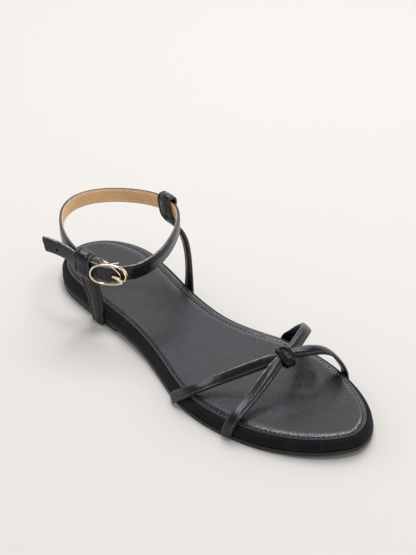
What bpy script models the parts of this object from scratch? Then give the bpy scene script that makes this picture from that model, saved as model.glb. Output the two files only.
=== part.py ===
"""Flat sandal, right shoe: sole, crossed toe straps, two upright heel straps and a buckled ankle strap.

The toe points along -Y, the outer (lateral) side is -X and the floor is Z = 0. A place on the shoe is
given as across (+ to the inner, medial side), station (from the back of the heel towards the toe) and
height. Tables and sizes are written in millimetres and turned into metres by MM.
"""
import math
from collections import namedtuple

import bmesh
import bpy
import numpy as np
from mathutils import Matrix, Vector

MM = 0.001

# Driving sizes of the sole
SOLE_LENGTH = 248 * MM
HEEL_HALF_WIDTH = 28.8 * MM
HEEL_ROUND = 38 * MM
HEEL_CENTRE = 0.8 * MM
TOE_TIP_ACROSS = 6 * MM
HEEL_RISE = 3.6 * MM
WEDGE_RISE = 2.0 * MM
ARCH_START = 66 * MM
ARCH_END = 152 * MM
TOE_SPRING = 2.6 * MM
TOE_SPRING_START = 202 * MM
HEEL_BREAST = 80 * MM
BREAST_SLOPE = 1.5 * MM
OUTSOLE_THICKNESS = 2.2 * MM
OUTSOLE_LIP = 0.6 * MM
HEEL_INSET = 0.3 * MM
FOOTBED_THICKNESS = 5.1 * MM
SHOULDER_INSET = 3.0 * MM
SHOULDER_DROP = 3.6 * MM
SHOULDER_TURNS = (0, 30, 60, 90)
INSOLE_THICKNESS = 1.0 * MM
INSOLE_INSET = 3.2 * MM
SEAT_GAP = 0.3 * MM
SOLE_STATIONS = 60
WALL_REACH = 6 * MM

# Driving sizes of the straps
TOE_STRAP_WIDTH = 6.3 * MM
TOE_STRAP_THICKNESS = 1.7 * MM
TOE_STRAP_ROWS = 52
TOE_STRAP_TILT = 0.17
TILT_END_ACROSS = -20 * MM
WALL_HUG_TOP = 8 * MM
WALL_FREE_HEIGHT = 16 * MM
KNOT_GATHER = 0.36
KNOT_REACH = 9 * MM
KNOT_BAND_WIDTH = 6.5 * MM
KNOT_BAND_THICKNESS = 1.5 * MM
KNOT_LENGTH = 11.4 * MM
KNOT_HEIGHT = 4.9 * MM
KNOT_TILT = 17
KNOT_SQUARENESS = 4
KNOT_ROWS = 28
QUARTER_THICKNESS = 1.8 * MM
QUARTER_WIDTH = 10 * MM
QUARTER_ROWS = 64
QUARTER_LEG_SHARE = 0.6
LOOP_SLACK = 0.8 * MM
LOOP_CROWN = 1.6 * MM
ANKLE_WIDTH = 8.8 * MM
ANKLE_THICKNESS = 1.8 * MM
EDGE_ROUND = 0.45 * MM
EDGE_SHARE = 0.6
LEVEL_ROWS = 5
PATH_FINENESS = 20

# Driving sizes of the ring that the ankle strap forms
RING_ACROSS = -6.9 * MM
RING_STATION = 57.7 * MM
RING_HALF_ACROSS = 33.2 * MM
RING_HALF_LENGTH = 33.6 * MM
RING_HEIGHT = 49.7 * MM
RING_SIDE_RISE = 2.3 * MM
RING_BACK_RISE = 5.8 * MM
RING_SAG = 0.6 * MM
RING_TWIST = 2.8 * MM
BUCKLE_ANGLE = 136
ANKLE_START_ANGLE = 153
ANKLE_STATIONS = 96
RING_STEP = 0.5

# Driving sizes of the buckle
BUCKLE_HALF_LENGTH = 9.8 * MM
BUCKLE_HALF_HEIGHT = 6.1 * MM
BUCKLE_SQUARENESS = 2.4
BUCKLE_WIRE = 0.85 * MM
BUCKLE_ROWS = 40
WIRE_SIDES = 8
BUCKLE_END_OUT = 3.7 * MM
BUCKLE_BAR_OUT = 0.1 * MM
BAR_ROWS = 24
BUCKLE_SWING = 7.5
STRAP_OVER_BAR = 3.0 * MM
BUCKLE_BAR_RADIUS = 0.8 * MM
PRONG_WIDTH = 2.0 * MM
PRONG_THICKNESS = 1.1 * MM
PRONG_START = 2.2 * MM
PRONG_MIDDLE = 5.5 * MM
PRONG_SAG = 0.3 * MM
PRONG_BEFORE_RIM = 1.0 * MM
PRONG_PAST_RIM = 0.6 * MM
PRONG_ARCH = 0.1 * MM
PRONG_ROWS = 12
ELASTIC_WIDTH = 7 * MM
ELASTIC_THICKNESS = 0.6 * MM
ELASTIC_END_SHARE = 0.97
ELASTIC_MIDDLE_SHARE = 0.6
ELASTIC_TURNS = (-110, -60, 0, 60, 110)
ELASTIC_ROWS = 36

# Colours
RUBBER_GREY = (0.10, 0.10, 0.10)
SUEDE_BLACK = (0.012, 0.012, 0.013)
SOCK_GREY = (0.06, 0.06, 0.065)
LEATHER_BLACK = (0.015, 0.015, 0.016)
PALE_GOLD = (0.72, 0.60, 0.48)
ELASTIC_GREY = (0.2, 0.2, 0.2)

# Directions towards the toe and up
LENGTHWISE = Vector((0, -1, 0))
UPRIGHT = Vector((0, 0, 1))

# Half widths of the sole between the round heel and the round toe, in millimetres
Breadth = namedtuple("Breadth", "station lateral medial")
WAIST = [
    Breadth(38, 28.8, 28.8),
    Breadth(58, 29.4, 26.6),
    Breadth(78, 28.9, 23.6),
    Breadth(98, 29.2, 22.2),
    Breadth(118, 31.6, 23.8),
    Breadth(138, 36.0, 30.4),
    Breadth(153, 39.5, 36.7),
    Breadth(168, 41.2, 40.3),
    Breadth(183, 40.4, 41.3),
]
# Where the round toe starts on each side, and the powers that shape it
ToeCurve = namedtuple("ToeCurve", "start fullness bluntness")
TOE_CURVES = {
    "lateral": ToeCurve(168, 2.0, 0.62),
    "medial": ToeCurve(183, 2.05, 0.53),
}

# Routes of the straps' middle lines, in millimetres
Fold = namedtuple("Fold", "across station height")
LATERAL_REAR_TO_MEDIAL_FRONT = [
    Fold(-41.9, 155.0, 2.6),
    Fold(-41.6, 157.6, 5.2),
    Fold(-39.9, 162.5, 9.0),
    Fold(-36.7, 166.0, 11.6),
    Fold(-27.1, 169.4, 14.1),
    Fold(-9.9, 177.8, 20.0),
    Fold(8.1, 186.9, 26.0),
    Fold(14.6, 189.5, 26.9),
    Fold(22.3, 192.5, 26.6),
    Fold(30.0, 194.3, 23.8),
    Fold(35.4, 195.5, 18.2),
    Fold(39.3, 196.0, 12.0),
    Fold(41.5, 196.1, 7.0),
    Fold(42.0, 196.2, 2.6),
]
LATERAL_FRONT_TO_MEDIAL_REAR = [
    Fold(-38.5, 197.8, 2.6),
    Fold(-38.2, 198.1, 5.4),
    Fold(-36.8, 198.9, 9.1),
    Fold(-34.1, 198.8, 11.5),
    Fold(-25.5, 196.1, 13.9),
    Fold(-11.2, 192.3, 19.1),
    Fold(8.1, 186.9, 26.0),
    Fold(16.0, 184.4, 26.8),
    Fold(24.8, 179.9, 27.5),
    Fold(31.0, 176.0, 27.2),
    Fold(34.6, 172.2, 25.2),
    Fold(36.7, 167.2, 21.0),
    Fold(37.9, 161.0, 15.5),
    Fold(38.5, 155.0, 9.5),
    Fold(37.8, 151.5, 5.6),
    Fold(37.6, 150.5, 2.6),
]
KNOT = Fold(8.1, 186.9, 26.0)
LATERAL_QUARTER_FOOT = [
    Fold(-30.6, 66.0, 0.6),
    Fold(-30.7, 66.0, 4.6),
    Fold(-30.9, 66.0, 9.0),
    Fold(-31.3, 66.0, 14.0),
    Fold(-32.8, 66.2, 23.0),
    Fold(-35.0, 66.5, 32.0),
]
MEDIAL_QUARTER_FOOT = [
    Fold(25.2, 77.2, 4.6),
    Fold(25.5, 77.2, 10.0),
    Fold(26.3, 76.2, 18.0),
    Fold(27.6, 73.0, 30.0),
    Fold(26.6, 67.6, 41.0),
]

# The two heel straps: angle of the loop, strap layers it goes round and spare room of its flap
# (both outside the ring), height of the cut foot, turn of the leg and forward shift of the loop's entry,
# in degrees and millimetres
HeelStrap = namedtuple(
    "HeelStrap", "side foot loop_angle layers_out flap_spare foot_height leg_turn entry_forward")
HEEL_STRAPS = [
    HeelStrap("lateral", LATERAL_QUARTER_FOOT, 158.5, 2.25, 0.1, 0.6, 0, 0.0),
    HeelStrap("medial", MEDIAL_QUARTER_FOOT, 358.5, 0.0, 3.0, 4.5, -15, 2.0),
]

# Distance of the ankle strap's middle line outside the ring at each angle round it
Layer = namedtuple("Layer", "angle out")
ANKLE_ROUTE = [
    Layer(ANKLE_START_ANGLE, 0.0),
    Layer(210, 0.0),
    Layer(270, 0.0),
    Layer(330, 0.0),
    Layer(380, 0.0),
    Layer(412, -1.5),
    Layer(440, -1.0),
    Layer(460, 0.2),
    Layer(474, 1.2),
    Layer(485, 1.35),
    Layer(496, 3.0),
    Layer(506, 2.4),
    Layer(514, 2.3),
    Layer(522, 2.3),
    Layer(530, 2.3),
]
# Half of the buckle's bar, from the rail to behind the strap: share of the way in, distance from the rail
BarTurn = namedtuple("BarTurn", "share below")
BAR_LEG = [
    BarTurn(0.0, 0.0),
    BarTurn(0.5, 0.0),
    BarTurn(0.88, 0.5),
    BarTurn(1.0, 1.5),
    BarTurn(1.0, 3.0),
    BarTurn(1.0, 4.5),
]
# The free tip leaves the loop nearly straight
Tip = namedtuple("Tip", "along out drop")
ANKLE_TIP = [
    Tip(8, 2.8, 1.1),
    Tip(15, 3.8, 2.7),
    Tip(23, 5.7, 4.9),
]

# Heights on a heel strap's loop, as shares of the loop's top above the middle of the ankle strap
LoopHeights = namedtuple("LoopHeights", "inner outer flap_middle flap_end")
LOOP_HEIGHTS = LoopHeights(inner=(-0.7, 0.3, 1.0), outer=(1.0, 0.3, -0.95), flap_middle=-1.5, flap_end=-2.05)
LOOP_CROWN_TURNS = (135, 90, 45)
# A point of the loop: distance outside the ring and above its middle
Turn = namedtuple("Turn", "out up")


def clear_scene():
    for thing in list(bpy.data.objects):
        bpy.data.objects.remove(thing, do_unlink=True)


def place(across, station, height):
    """World point of a place on the shoe, in metres."""
    return Vector((across, SOLE_LENGTH / 2 - station, height))


def fold_points(folds):
    return [place(f.across * MM, f.station * MM, f.height * MM) for f in folds]


def cubic(knots, values, wanted):
    """Natural cubic curve through values at knots, read at the wanted places."""
    x = np.asarray(knots, float)
    y = np.asarray(values, float).reshape(len(x), -1)
    gap = np.diff(x)
    slope = np.diff(y, axis=0) / gap[:, None]
    system = np.eye(len(x))
    right = np.zeros_like(y)
    for i in range(1, len(x) - 1):
        system[i, i - 1:i + 2] = gap[i - 1], 2 * (gap[i - 1] + gap[i]), gap[i]
        right[i] = 6 * (slope[i] - slope[i - 1])
    bend = np.linalg.solve(system, right)
    t = np.clip(np.asarray(wanted, float), x[0], x[-1])
    i = np.clip(np.searchsorted(x, t) - 1, 0, len(x) - 2)
    before = ((t - x[i]) / gap[i])[:, None]
    after = 1 - before
    curve = (after ** 3 - after) * bend[i] + (before ** 3 - before) * bend[i + 1]
    return after * y[i] + before * y[i + 1] + curve * (gap[i] ** 2)[:, None] / 6


def smooth_path(points, count):
    """Evenly spaced points on one smooth curve through the given points."""
    rows = np.array(points)
    lengths = np.linalg.norm(np.diff(rows, axis=0), axis=1)
    knots = np.concatenate(([0], np.cumsum(lengths)))
    fine = cubic(knots, rows, np.linspace(0, knots[-1], PATH_FINENESS * count))
    run = np.concatenate(([0], np.cumsum(np.linalg.norm(np.diff(fine, axis=0), axis=1))))
    even = np.linspace(0, run[-1], count)
    return [Vector(np.array([np.interp(s, run, fine[:, k]) for k in range(3)])) for s in even]


def smoothstep(low, high, value):
    t = min(max((value - low) / (high - low), 0), 1)
    return t * t * (3 - 2 * t)


def swell(value, power):
    """Power of a cosine or sine that keeps its sign, for round shapes with fuller corners."""
    return math.copysign(abs(value) ** power, value)


def lift(station, heel_rise=HEEL_RISE):
    """Rise of the sole's layers above the flat forefoot: heel, arch and toe spring."""
    heel = heel_rise * (1 - smoothstep(ARCH_START, ARCH_END, station))
    toe = max(station - TOE_SPRING_START, 0) / (SOLE_LENGTH - TOE_SPRING_START)
    return heel + TOE_SPRING * toe ** 2


def low_lift(station):
    """Rise of the outsole, which the footbed's wedge makes up to the full heel rise."""
    return lift(station, WEDGE_RISE)


def half_width(side, station):
    """Distance of the sole's wall from the middle line, lateral or medial."""
    toe = TOE_CURVES[side]
    toe_start = toe.start * MM
    sign = -1 if side == "lateral" else 1
    if station < HEEL_ROUND:
        share = math.sqrt(max(1 - (1 - station / HEEL_ROUND) ** 2, 0))
        centre = HEEL_CENTRE * (1 - station / HEEL_ROUND)
        return sign * HEEL_HALF_WIDTH * share + centre
    knots = [row.station for row in WAIST]
    widths = [getattr(row, side) for row in WAIST]
    at = min(station, toe_start) / MM
    width = sign * float(cubic(knots, widths, [at])[0, 0]) * MM
    if station <= toe_start:
        return width
    share = (SOLE_LENGTH - station) / (SOLE_LENGTH - toe_start)
    taper = max(1 - (1 - share) ** toe.fullness, 0) ** toe.bluntness
    return TOE_TIP_ACROSS + (width - TOE_TIP_ACROSS) * taper


def wall_along(side, station):
    """Direction of the sole's wall at a station, towards the toe."""
    ends = [place(half_width(side, s), s, 0) for s in (station - WALL_REACH, station + WALL_REACH)]
    return (ends[1] - ends[0]).normalized()


def sole_stations():
    """Stations from heel to toe, closer together at the round ends and on both sides of the breast."""
    spread = [SOLE_LENGTH * (1 - math.cos(math.pi * i / SOLE_STATIONS)) / 2 for i in range(SOLE_STATIONS + 1)]
    breast = [HEEL_BREAST, HEEL_BREAST + BREAST_SLOPE]
    clear = [s for s in spread if min(abs(s - b) for b in breast) > BREAST_SLOPE]
    return sorted(clear + breast)


def sole_outline(inset):
    """Closed plan outline, moved inwards by inset (a size, or a rule for a station).

    It runs up the lateral side and back down the medial side.
    """
    stations = sole_stations()
    lateral = [(half_width("lateral", s), s) for s in stations]
    medial = [(half_width("medial", s), s) for s in stations]
    loop = lateral + medial[-2:0:-1]
    moved = []
    for i, (across, station) in enumerate(loop):
        step = inset(station) if callable(inset) else inset
        before = loop[i - 1]
        after = loop[(i + 1) % len(loop)]
        along = Vector((after[0] - before[0], after[1] - before[1])).normalized()
        moved.append((across + along.y * step, station - along.x * step))
    return moved


def mesh_object(name, bm, colour, roughness, metallic=0.0, smooth_angle=50):
    """Closed mesh object with its own plain material."""
    bmesh.ops.recalc_face_normals(bm, faces=bm.faces)
    mesh = bpy.data.meshes.new(name)
    bm.to_mesh(mesh)
    bm.free()
    mesh.shade_smooth()
    mesh.set_sharp_from_angle(angle=math.radians(smooth_angle))
    thing = bpy.data.objects.new(name, mesh)
    bpy.context.collection.objects.link(thing)
    material = bpy.data.materials.new(name)
    material.use_nodes = True
    shader = material.node_tree.nodes["Principled BSDF"]
    shader.inputs["Base Color"].default_value = (*colour, 1)
    shader.inputs["Roughness"].default_value = roughness
    shader.inputs["Metallic"].default_value = metallic
    mesh.materials.append(material)
    return thing


def slab(name, rings, colour, roughness):
    """Solid through sole-shaped rings; each ring is an inset and a height for a station."""
    bm = bmesh.new()
    levels = []
    for inset, height in rings:
        points = [place(x, s, height(s)) for x, s in sole_outline(inset)]
        levels.append([bm.verts.new(p) for p in points])
    count = len(levels[0])
    for low, high in zip(levels, levels[1:]):
        for i in range(count):
            j = (i + 1) % count
            bm.faces.new((low[i], low[j], high[j], high[i]))
    half = count // 2
    for ring in (levels[0], levels[-1]):
        bm.faces.new((ring[0], ring[1], ring[-1]))
        bm.faces.new((ring[half - 1], ring[half], ring[half + 1]))
        for i in range(1, half - 1):
            bm.faces.new((ring[i], ring[i + 1], ring[count - i - 1], ring[count - i]))
    return mesh_object(name, bm, colour, roughness)


def outsole():
    """Rubber sheet that follows the arch, with the low heel moulded on behind the breast."""
    def top(station):
        return OUTSOLE_THICKNESS + low_lift(station)

    def under(station):
        return 0.0 if station <= HEEL_BREAST else low_lift(station)

    def edge(station):
        forefoot = smoothstep(HEEL_BREAST, ARCH_END, station)
        return HEEL_INSET - (HEEL_INSET + OUTSOLE_LIP) * forefoot

    def round_edge(station):
        return edge(station) + EDGE_ROUND

    rings = [
        (round_edge, under),
        (edge, lambda s: under(s) + EDGE_ROUND),
        (edge, lambda s: top(s) - EDGE_ROUND),
        (round_edge, top),
    ]
    return slab("outsole", rings, RUBBER_GREY, 0.7)


def footbed():
    """Suede-wrapped midsole with a rounded shoulder."""
    base = OUTSOLE_THICKNESS + SEAT_GAP
    crown = base + FOOTBED_THICKNESS
    rings = [
        (EDGE_ROUND, lambda s: base + low_lift(s)),
        (0.0, lambda s: base + EDGE_ROUND + low_lift(s)),
    ]
    for turn in SHOULDER_TURNS:
        inset = SHOULDER_INSET * (1 - math.cos(math.radians(turn)))
        height = crown - SHOULDER_DROP * (1 - math.sin(math.radians(turn)))
        rings.append((inset, lambda s, h=height: h + lift(s)))
    return slab("footbed", rings, SUEDE_BLACK, 0.95)


def insole():
    """Leather sock, one even sheet on the footbed."""
    base = OUTSOLE_THICKNESS + FOOTBED_THICKNESS + 2 * SEAT_GAP
    edge = INSOLE_THICKNESS - EDGE_ROUND
    rings = [
        (INSOLE_INSET, lambda s: base + lift(s)),
        (INSOLE_INSET, lambda s: base + edge + lift(s)),
        (INSOLE_INSET + EDGE_ROUND, lambda s: base + INSOLE_THICKNESS + lift(s)),
    ]
    return slab("insole", rings, SOCK_GREY, 0.5)


def strap_section(width, thickness):
    """Flat strap section with its four edges rounded off."""
    w = width / 2
    t = thickness / 2
    r = min(EDGE_ROUND, t * EDGE_SHARE)
    quarter = [(w - r, -t), (w, r - t), (w, t - r), (w - r, t)]
    return quarter + [(-a, -b) for a, b in quarter]


def round_section(radius, sides):
    angles = [2 * math.pi * i / sides for i in range(sides)]
    return [(radius * math.cos(a), radius * math.sin(a)) for a in angles]


def level_rows(rows, directions, height):
    """Moves a strap's first rows along it until its cut end lies level at height."""
    slides = [(height - vert.co.z) / directions[0].z for vert in rows[0]]
    for i in range(LEVEL_ROWS):
        for vert, slide in zip(rows[i], slides):
            vert.co += directions[i] * slide * (1 - i / LEVEL_ROWS)


def sweep(bm, centres, rulings, sections, closed=False, level_start=None, level_end=None):
    """Solid along a path; rulings give the direction of each section's width."""
    rows = []
    directions = []
    count = len(centres)
    for i, centre in enumerate(centres):
        before = centres[i - 1] if closed or i else centre
        after = centres[(i + 1) % count] if closed or i < count - 1 else centre
        along = (after - before).normalized()
        face = rulings[i].cross(along).normalized()
        wide = along.cross(face)
        rows.append([bm.verts.new(centre + wide * u + face * v) for u, v in sections[i]])
        directions.append(along)
    if level_start is not None:
        level_rows(rows, directions, level_start)
    if level_end is not None:
        level_rows(rows[::-1], directions[::-1], level_end)
    sides = len(rows[0])
    last = count if closed else count - 1
    for i in range(last):
        here = rows[i]
        there = rows[(i + 1) % count]
        for k in range(sides):
            m = (k + 1) % sides
            bm.faces.new((here[k], here[m], there[m], there[k]))
    if not closed:
        bm.faces.new(rows[0])
        bm.faces.new(rows[-1])


def join(thing, other):
    """Joins other to thing as one body; other stays only as a guide."""
    union = thing.modifiers.new("joined", "BOOLEAN")
    union.operation = "UNION"
    union.object = other
    other.hide_render = True
    other.display_type = "WIRE"


def toe_rulings(centres):
    """Directions across a toe strap: along the wall at its feet, lengthwise higher, tilted on the outer side."""
    rulings = []
    for centre in centres:
        wall = wall_along("lateral" if centre.x < 0 else "medial", SOLE_LENGTH / 2 - centre.y)
        free = smoothstep(WALL_HUG_TOP, WALL_FREE_HEIGHT, centre.z)
        tilt = TOE_STRAP_TILT * (1 - smoothstep(TILT_END_ACROSS, KNOT.across * MM, centre.x))
        rulings.append((wall.lerp(LENGTHWISE, free) - UPRIGHT * tilt).normalized())
    return rulings


def toe_strap(name, folds):
    """One forefoot strap, gathered to a narrower width where the knot holds it."""
    centres = smooth_path(fold_points(folds), TOE_STRAP_ROWS)
    knot = fold_points([KNOT])[0]
    sections = []
    for centre in centres:
        gather = KNOT_GATHER * math.exp(-((centre - knot).length / KNOT_REACH) ** 2)
        sections.append(strap_section(TOE_STRAP_WIDTH * (1 - gather), TOE_STRAP_THICKNESS))
    bm = bmesh.new()
    ground = OUTSOLE_THICKNESS + SEAT_GAP
    starts, ends = [ground + low_lift(fold.station * MM) for fold in (folds[0], folds[-1])]
    sweep(bm, centres, toe_rulings(centres), sections, level_start=starts, level_end=ends)
    return mesh_object(name, bm, LEATHER_BLACK, 0.4)


def toe_straps():
    """The crossed straps, joined where they cross."""
    straps = toe_strap("toe_straps", LATERAL_REAR_TO_MEDIAL_FRONT)
    crossing = toe_strap("crossing_guide", LATERAL_FRONT_TO_MEDIAL_REAR)
    join(straps, crossing)
    return straps


def knot_loop():
    """Band wrapped once round the crossing, in the plane along the foot."""
    centre = fold_points([KNOT])[0]
    axis = Vector((math.cos(math.radians(KNOT_TILT)), 0, math.sin(math.radians(KNOT_TILT))))
    over = LENGTHWISE.cross(axis)
    over *= math.copysign(1, over.z)
    squareness = 2 / KNOT_SQUARENESS
    points = []
    for i in range(KNOT_ROWS):
        a = 2 * math.pi * i / KNOT_ROWS
        u = swell(math.cos(a), squareness) * KNOT_LENGTH / 2
        v = swell(math.sin(a), squareness) * KNOT_HEIGHT / 2
        points.append(centre + LENGTHWISE * u + over * v)
    sections = [strap_section(KNOT_BAND_WIDTH, KNOT_BAND_THICKNESS)] * KNOT_ROWS
    bm = bmesh.new()
    sweep(bm, points, [axis] * KNOT_ROWS, sections, closed=True)
    return mesh_object("knot_loop", bm, LEATHER_BLACK, 0.4)


def ring_point(angle, out=0.0):
    """Point of the ankle ring's middle line, moved outwards by out; 0 is medial and 90 the front."""
    a = math.radians(angle)
    normal = ring_normal(angle)
    height = RING_HEIGHT + RING_SIDE_RISE * math.cos(a) - RING_BACK_RISE * math.sin(a)
    height += RING_SAG * math.cos(2 * a) + RING_TWIST * math.sin(2 * a)
    across = RING_ACROSS + RING_HALF_ACROSS * math.cos(a)
    station = RING_STATION + RING_HALF_LENGTH * math.sin(a)
    return place(across, station, height) + normal * out


def ring_normal(angle):
    a = math.radians(angle)
    return Vector((math.cos(a) / RING_HALF_ACROSS, -math.sin(a) / RING_HALF_LENGTH, 0)).normalized()


def ring_along(angle):
    """Direction of travel round the ring as the angle grows."""
    return (ring_point(angle + RING_STEP) - ring_point(angle - RING_STEP)).normalized()


def ankle_strap():
    """One strap from its end in the lateral loop, round the ankle, through the buckle and loop to its tip."""
    angles = [row.angle for row in ANKLE_ROUTE]
    outs = [row.out for row in ANKLE_ROUTE]
    wanted = np.linspace(angles[0], angles[-1], ANKLE_STATIONS)
    route = [ring_point(a, o * MM) for a, o in zip(wanted, cubic(angles, outs, wanted)[:, 0])]
    leaving = ring_along(angles[-1])
    outward = ring_normal(angles[-1])
    base = ring_point(angles[-1])
    for tip in ANKLE_TIP:
        route.append(base + leaving * tip.along * MM + outward * tip.out * MM - UPRIGHT * tip.drop * MM)
    centres = smooth_path(route, ANKLE_STATIONS)
    bm = bmesh.new()
    sections = [strap_section(ANKLE_WIDTH, ANKLE_THICKNESS)] * len(centres)
    sweep(bm, centres, [UPRIGHT] * len(centres), sections)
    return mesh_object("ankle_strap", bm, LEATHER_BLACK, 0.4)


def loop_turns(layers_out, flap_spare):
    """Fold of a heel strap round the ankle strap: up inside it, over its top and down outside it."""
    clear = ANKLE_THICKNESS / 2 + SEAT_GAP + QUARTER_THICKNESS / 2
    inner = -clear - LOOP_SLACK
    outer = layers_out + clear + LOOP_SLACK / 4
    top = ANKLE_WIDTH / 2 + 2 * SEAT_GAP
    middle = (inner + outer) / 2
    radius = (outer - inner) / 2
    turns = [Turn(inner, share * top) for share in LOOP_HEIGHTS.inner]
    for a in LOOP_CROWN_TURNS:
        out = middle + radius * math.cos(math.radians(a))
        turns.append(Turn(out, top + LOOP_CROWN * math.sin(math.radians(a))))
    turns += [Turn(outer, share * top) for share in LOOP_HEIGHTS.outer]
    flap = inner + QUARTER_THICKNESS + SEAT_GAP
    turns.append(Turn((outer + flap + flap_spare) / 2, LOOP_HEIGHTS.flap_middle * top))
    turns.append(Turn(flap + flap_spare, LOOP_HEIGHTS.flap_end * top))
    return turns


def quarter_strap(strap):
    """Upright heel strap with the loop that carries the ankle strap."""
    points = fold_points(strap.foot)
    base = ring_point(strap.loop_angle)
    outward = ring_normal(strap.loop_angle)
    along = ring_along(strap.loop_angle)
    if along.dot(LENGTHWISE) < 0:
        along = -along
    for turn in loop_turns(strap.layers_out * MM, strap.flap_spare * MM):
        points.append(base + outward * turn.out + UPRIGHT * turn.up)
    points[len(strap.foot)] += along * (strap.entry_forward * MM)
    centres = smooth_path(points, QUARTER_ROWS)
    wall = wall_along(strap.side, strap.foot[0].station * MM)
    rulings = []
    for i, centre in enumerate(centres):
        share = smoothstep(points[1].z, points[len(strap.foot) - 1].z, centre.z)
        leg = min(i / (len(centres) - 1) / QUARTER_LEG_SHARE, 1)
        turn = Matrix.Rotation(math.radians(strap.leg_turn) * math.sin(math.pi * leg), 3, "Z")
        rulings.append(turn @ wall.lerp(along, share).normalized())
    bm = bmesh.new()
    sections = [strap_section(QUARTER_WIDTH, QUARTER_THICKNESS)] * len(centres)
    sweep(bm, centres, rulings, sections, level_start=strap.foot_height * MM)
    return mesh_object("quarter_strap_" + strap.side, bm, LEATHER_BLACK, 0.4)


def buckle_axes():
    """Directions of the buckle: forwards along the strap, outwards and up; its rear stands out a little."""
    along = -ring_along(BUCKLE_ANGLE)
    normal = ring_normal(BUCKLE_ANGLE)
    swing = math.radians(BUCKLE_SWING)
    forward = along * math.cos(swing) - normal * math.sin(swing)
    upward = along.cross(normal).normalized()
    upward *= math.copysign(1, upward.z)
    outward = upward.cross(forward)
    outward *= math.copysign(1, outward.dot(normal))
    return forward, outward, upward


def buckle_place(u, out, w):
    """Point by the buckle: u forwards along the strap, out from the ankle, w up the strap's width."""
    forward, outward, upward = buckle_axes()
    return ring_point(BUCKLE_ANGLE) + forward * u + outward * out + upward * w


def buckle_frame():
    """Flat oval wire frame with a centre bar that drops behind the strap."""
    forward, outward, _ = buckle_axes()
    points = []
    for i in range(BUCKLE_ROWS):
        a = 2 * math.pi * i / BUCKLE_ROWS
        u = BUCKLE_HALF_LENGTH * swell(math.cos(a), 2 / BUCKLE_SQUARENESS)
        w = BUCKLE_HALF_HEIGHT * swell(math.sin(a), 2 / BUCKLE_SQUARENESS)
        points.append(buckle_place(u, BUCKLE_END_OUT, w))
    sections = [round_section(BUCKLE_WIRE, WIRE_SIDES)] * BUCKLE_ROWS
    bm = bmesh.new()
    sweep(bm, points, [outward] * BUCKLE_ROWS, sections, closed=True)
    frame = mesh_object("buckle_frame", bm, PALE_GOLD, 0.25, 1.0)
    drop = BUCKLE_END_OUT - BUCKLE_BAR_OUT
    leg = [(BUCKLE_END_OUT - drop * turn.share, BUCKLE_HALF_HEIGHT - turn.below * MM) for turn in BAR_LEG]
    route = [buckle_place(0, out, w) for out, w in leg]
    route += [buckle_place(0, out, -w) for out, w in reversed(leg)]
    centres = smooth_path(route, BAR_ROWS)
    bm = bmesh.new()
    sweep(bm, centres, [forward] * BAR_ROWS, [round_section(BUCKLE_BAR_RADIUS, WIRE_SIDES)] * BAR_ROWS)
    bar = mesh_object("bar_guide", bm, PALE_GOLD, 0.25, 1.0)
    join(frame, bar)
    return frame


def buckle_prong():
    """Flat prong from the strap's hole to just past the front rim."""
    strap_top = STRAP_OVER_BAR + ANKLE_THICKNESS / 2
    seat = SEAT_GAP + PRONG_THICKNESS / 2
    rim_top = BUCKLE_END_OUT + BUCKLE_WIRE
    rows = [
        (PRONG_START, strap_top + seat),
        (PRONG_MIDDLE, strap_top + seat - PRONG_SAG),
        (BUCKLE_HALF_LENGTH - PRONG_BEFORE_RIM, rim_top + seat + PRONG_ARCH),
        (BUCKLE_HALF_LENGTH + PRONG_PAST_RIM, rim_top + seat - PRONG_ARCH),
    ]
    centres = smooth_path([buckle_place(u, out, 0) for u, out in rows], PRONG_ROWS)
    upward = buckle_axes()[2]
    sections = [strap_section(PRONG_WIDTH, PRONG_THICKNESS)] * PRONG_ROWS
    bm = bmesh.new()
    sweep(bm, centres, [upward] * PRONG_ROWS, sections)
    return mesh_object("buckle_prong", bm, PALE_GOLD, 0.25, 1.0)


def buckle_elastic():
    """Elastic folded round the bar, its two legs running back into the lateral loop."""
    wrap = BUCKLE_BAR_RADIUS + SEAT_GAP + ELASTIC_THICKNESS / 2
    leg = (ELASTIC_THICKNESS + SEAT_GAP) / 2
    span = ANKLE_START_ANGLE - BUCKLE_ANGLE
    end_angle = BUCKLE_ANGLE + span * ELASTIC_END_SHARE
    middle_angle = BUCKLE_ANGLE + span * ELASTIC_MIDDLE_SHARE
    inner = [ring_point(end_angle, -leg), ring_point(middle_angle, -leg)]
    outer = [ring_point(middle_angle, leg), ring_point(end_angle, leg)]
    turn = []
    for a in ELASTIC_TURNS:
        u = wrap * math.cos(math.radians(a))
        out = BUCKLE_BAR_OUT + wrap * math.sin(math.radians(a))
        turn.append(buckle_place(u, out, 0))
    centres = smooth_path(inner + turn + outer, ELASTIC_ROWS)
    upward = buckle_axes()[2]
    bm = bmesh.new()
    section = strap_section(ELASTIC_WIDTH, ELASTIC_THICKNESS)
    sweep(bm, centres, [upward] * len(centres), [section] * len(centres))
    return mesh_object("buckle_elastic", bm, ELASTIC_GREY, 0.8)


def stand_on_origin(pieces):
    """Parents the pieces to one empty, with the middle of their box above the origin."""
    bpy.context.view_layer.update()
    graph = bpy.context.evaluated_depsgraph_get()
    corners = []
    for piece in pieces:
        mesh = piece.evaluated_get(graph).to_mesh()
        corners += [v.co.copy() for v in mesh.vertices]
    middle_x = (min(c.x for c in corners) + max(c.x for c in corners)) / 2
    middle_y = (min(c.y for c in corners) + max(c.y for c in corners)) / 2
    sandal = bpy.data.objects.new("sandal", None)
    bpy.context.collection.objects.link(sandal)
    for thing in bpy.data.objects:
        if thing is not sandal:
            thing.parent = sandal
    sandal.location = (-middle_x, -middle_y, 0)
    bpy.context.view_layer.update()


def main():
    clear_scene()
    pieces = [
        outsole(),
        footbed(),
        insole(),
        toe_straps(),
        knot_loop(),
        *[quarter_strap(strap) for strap in HEEL_STRAPS],
        ankle_strap(),
        buckle_elastic(),
        buckle_frame(),
        buckle_prong(),
    ]
    stand_on_origin(pieces)


main()
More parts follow.
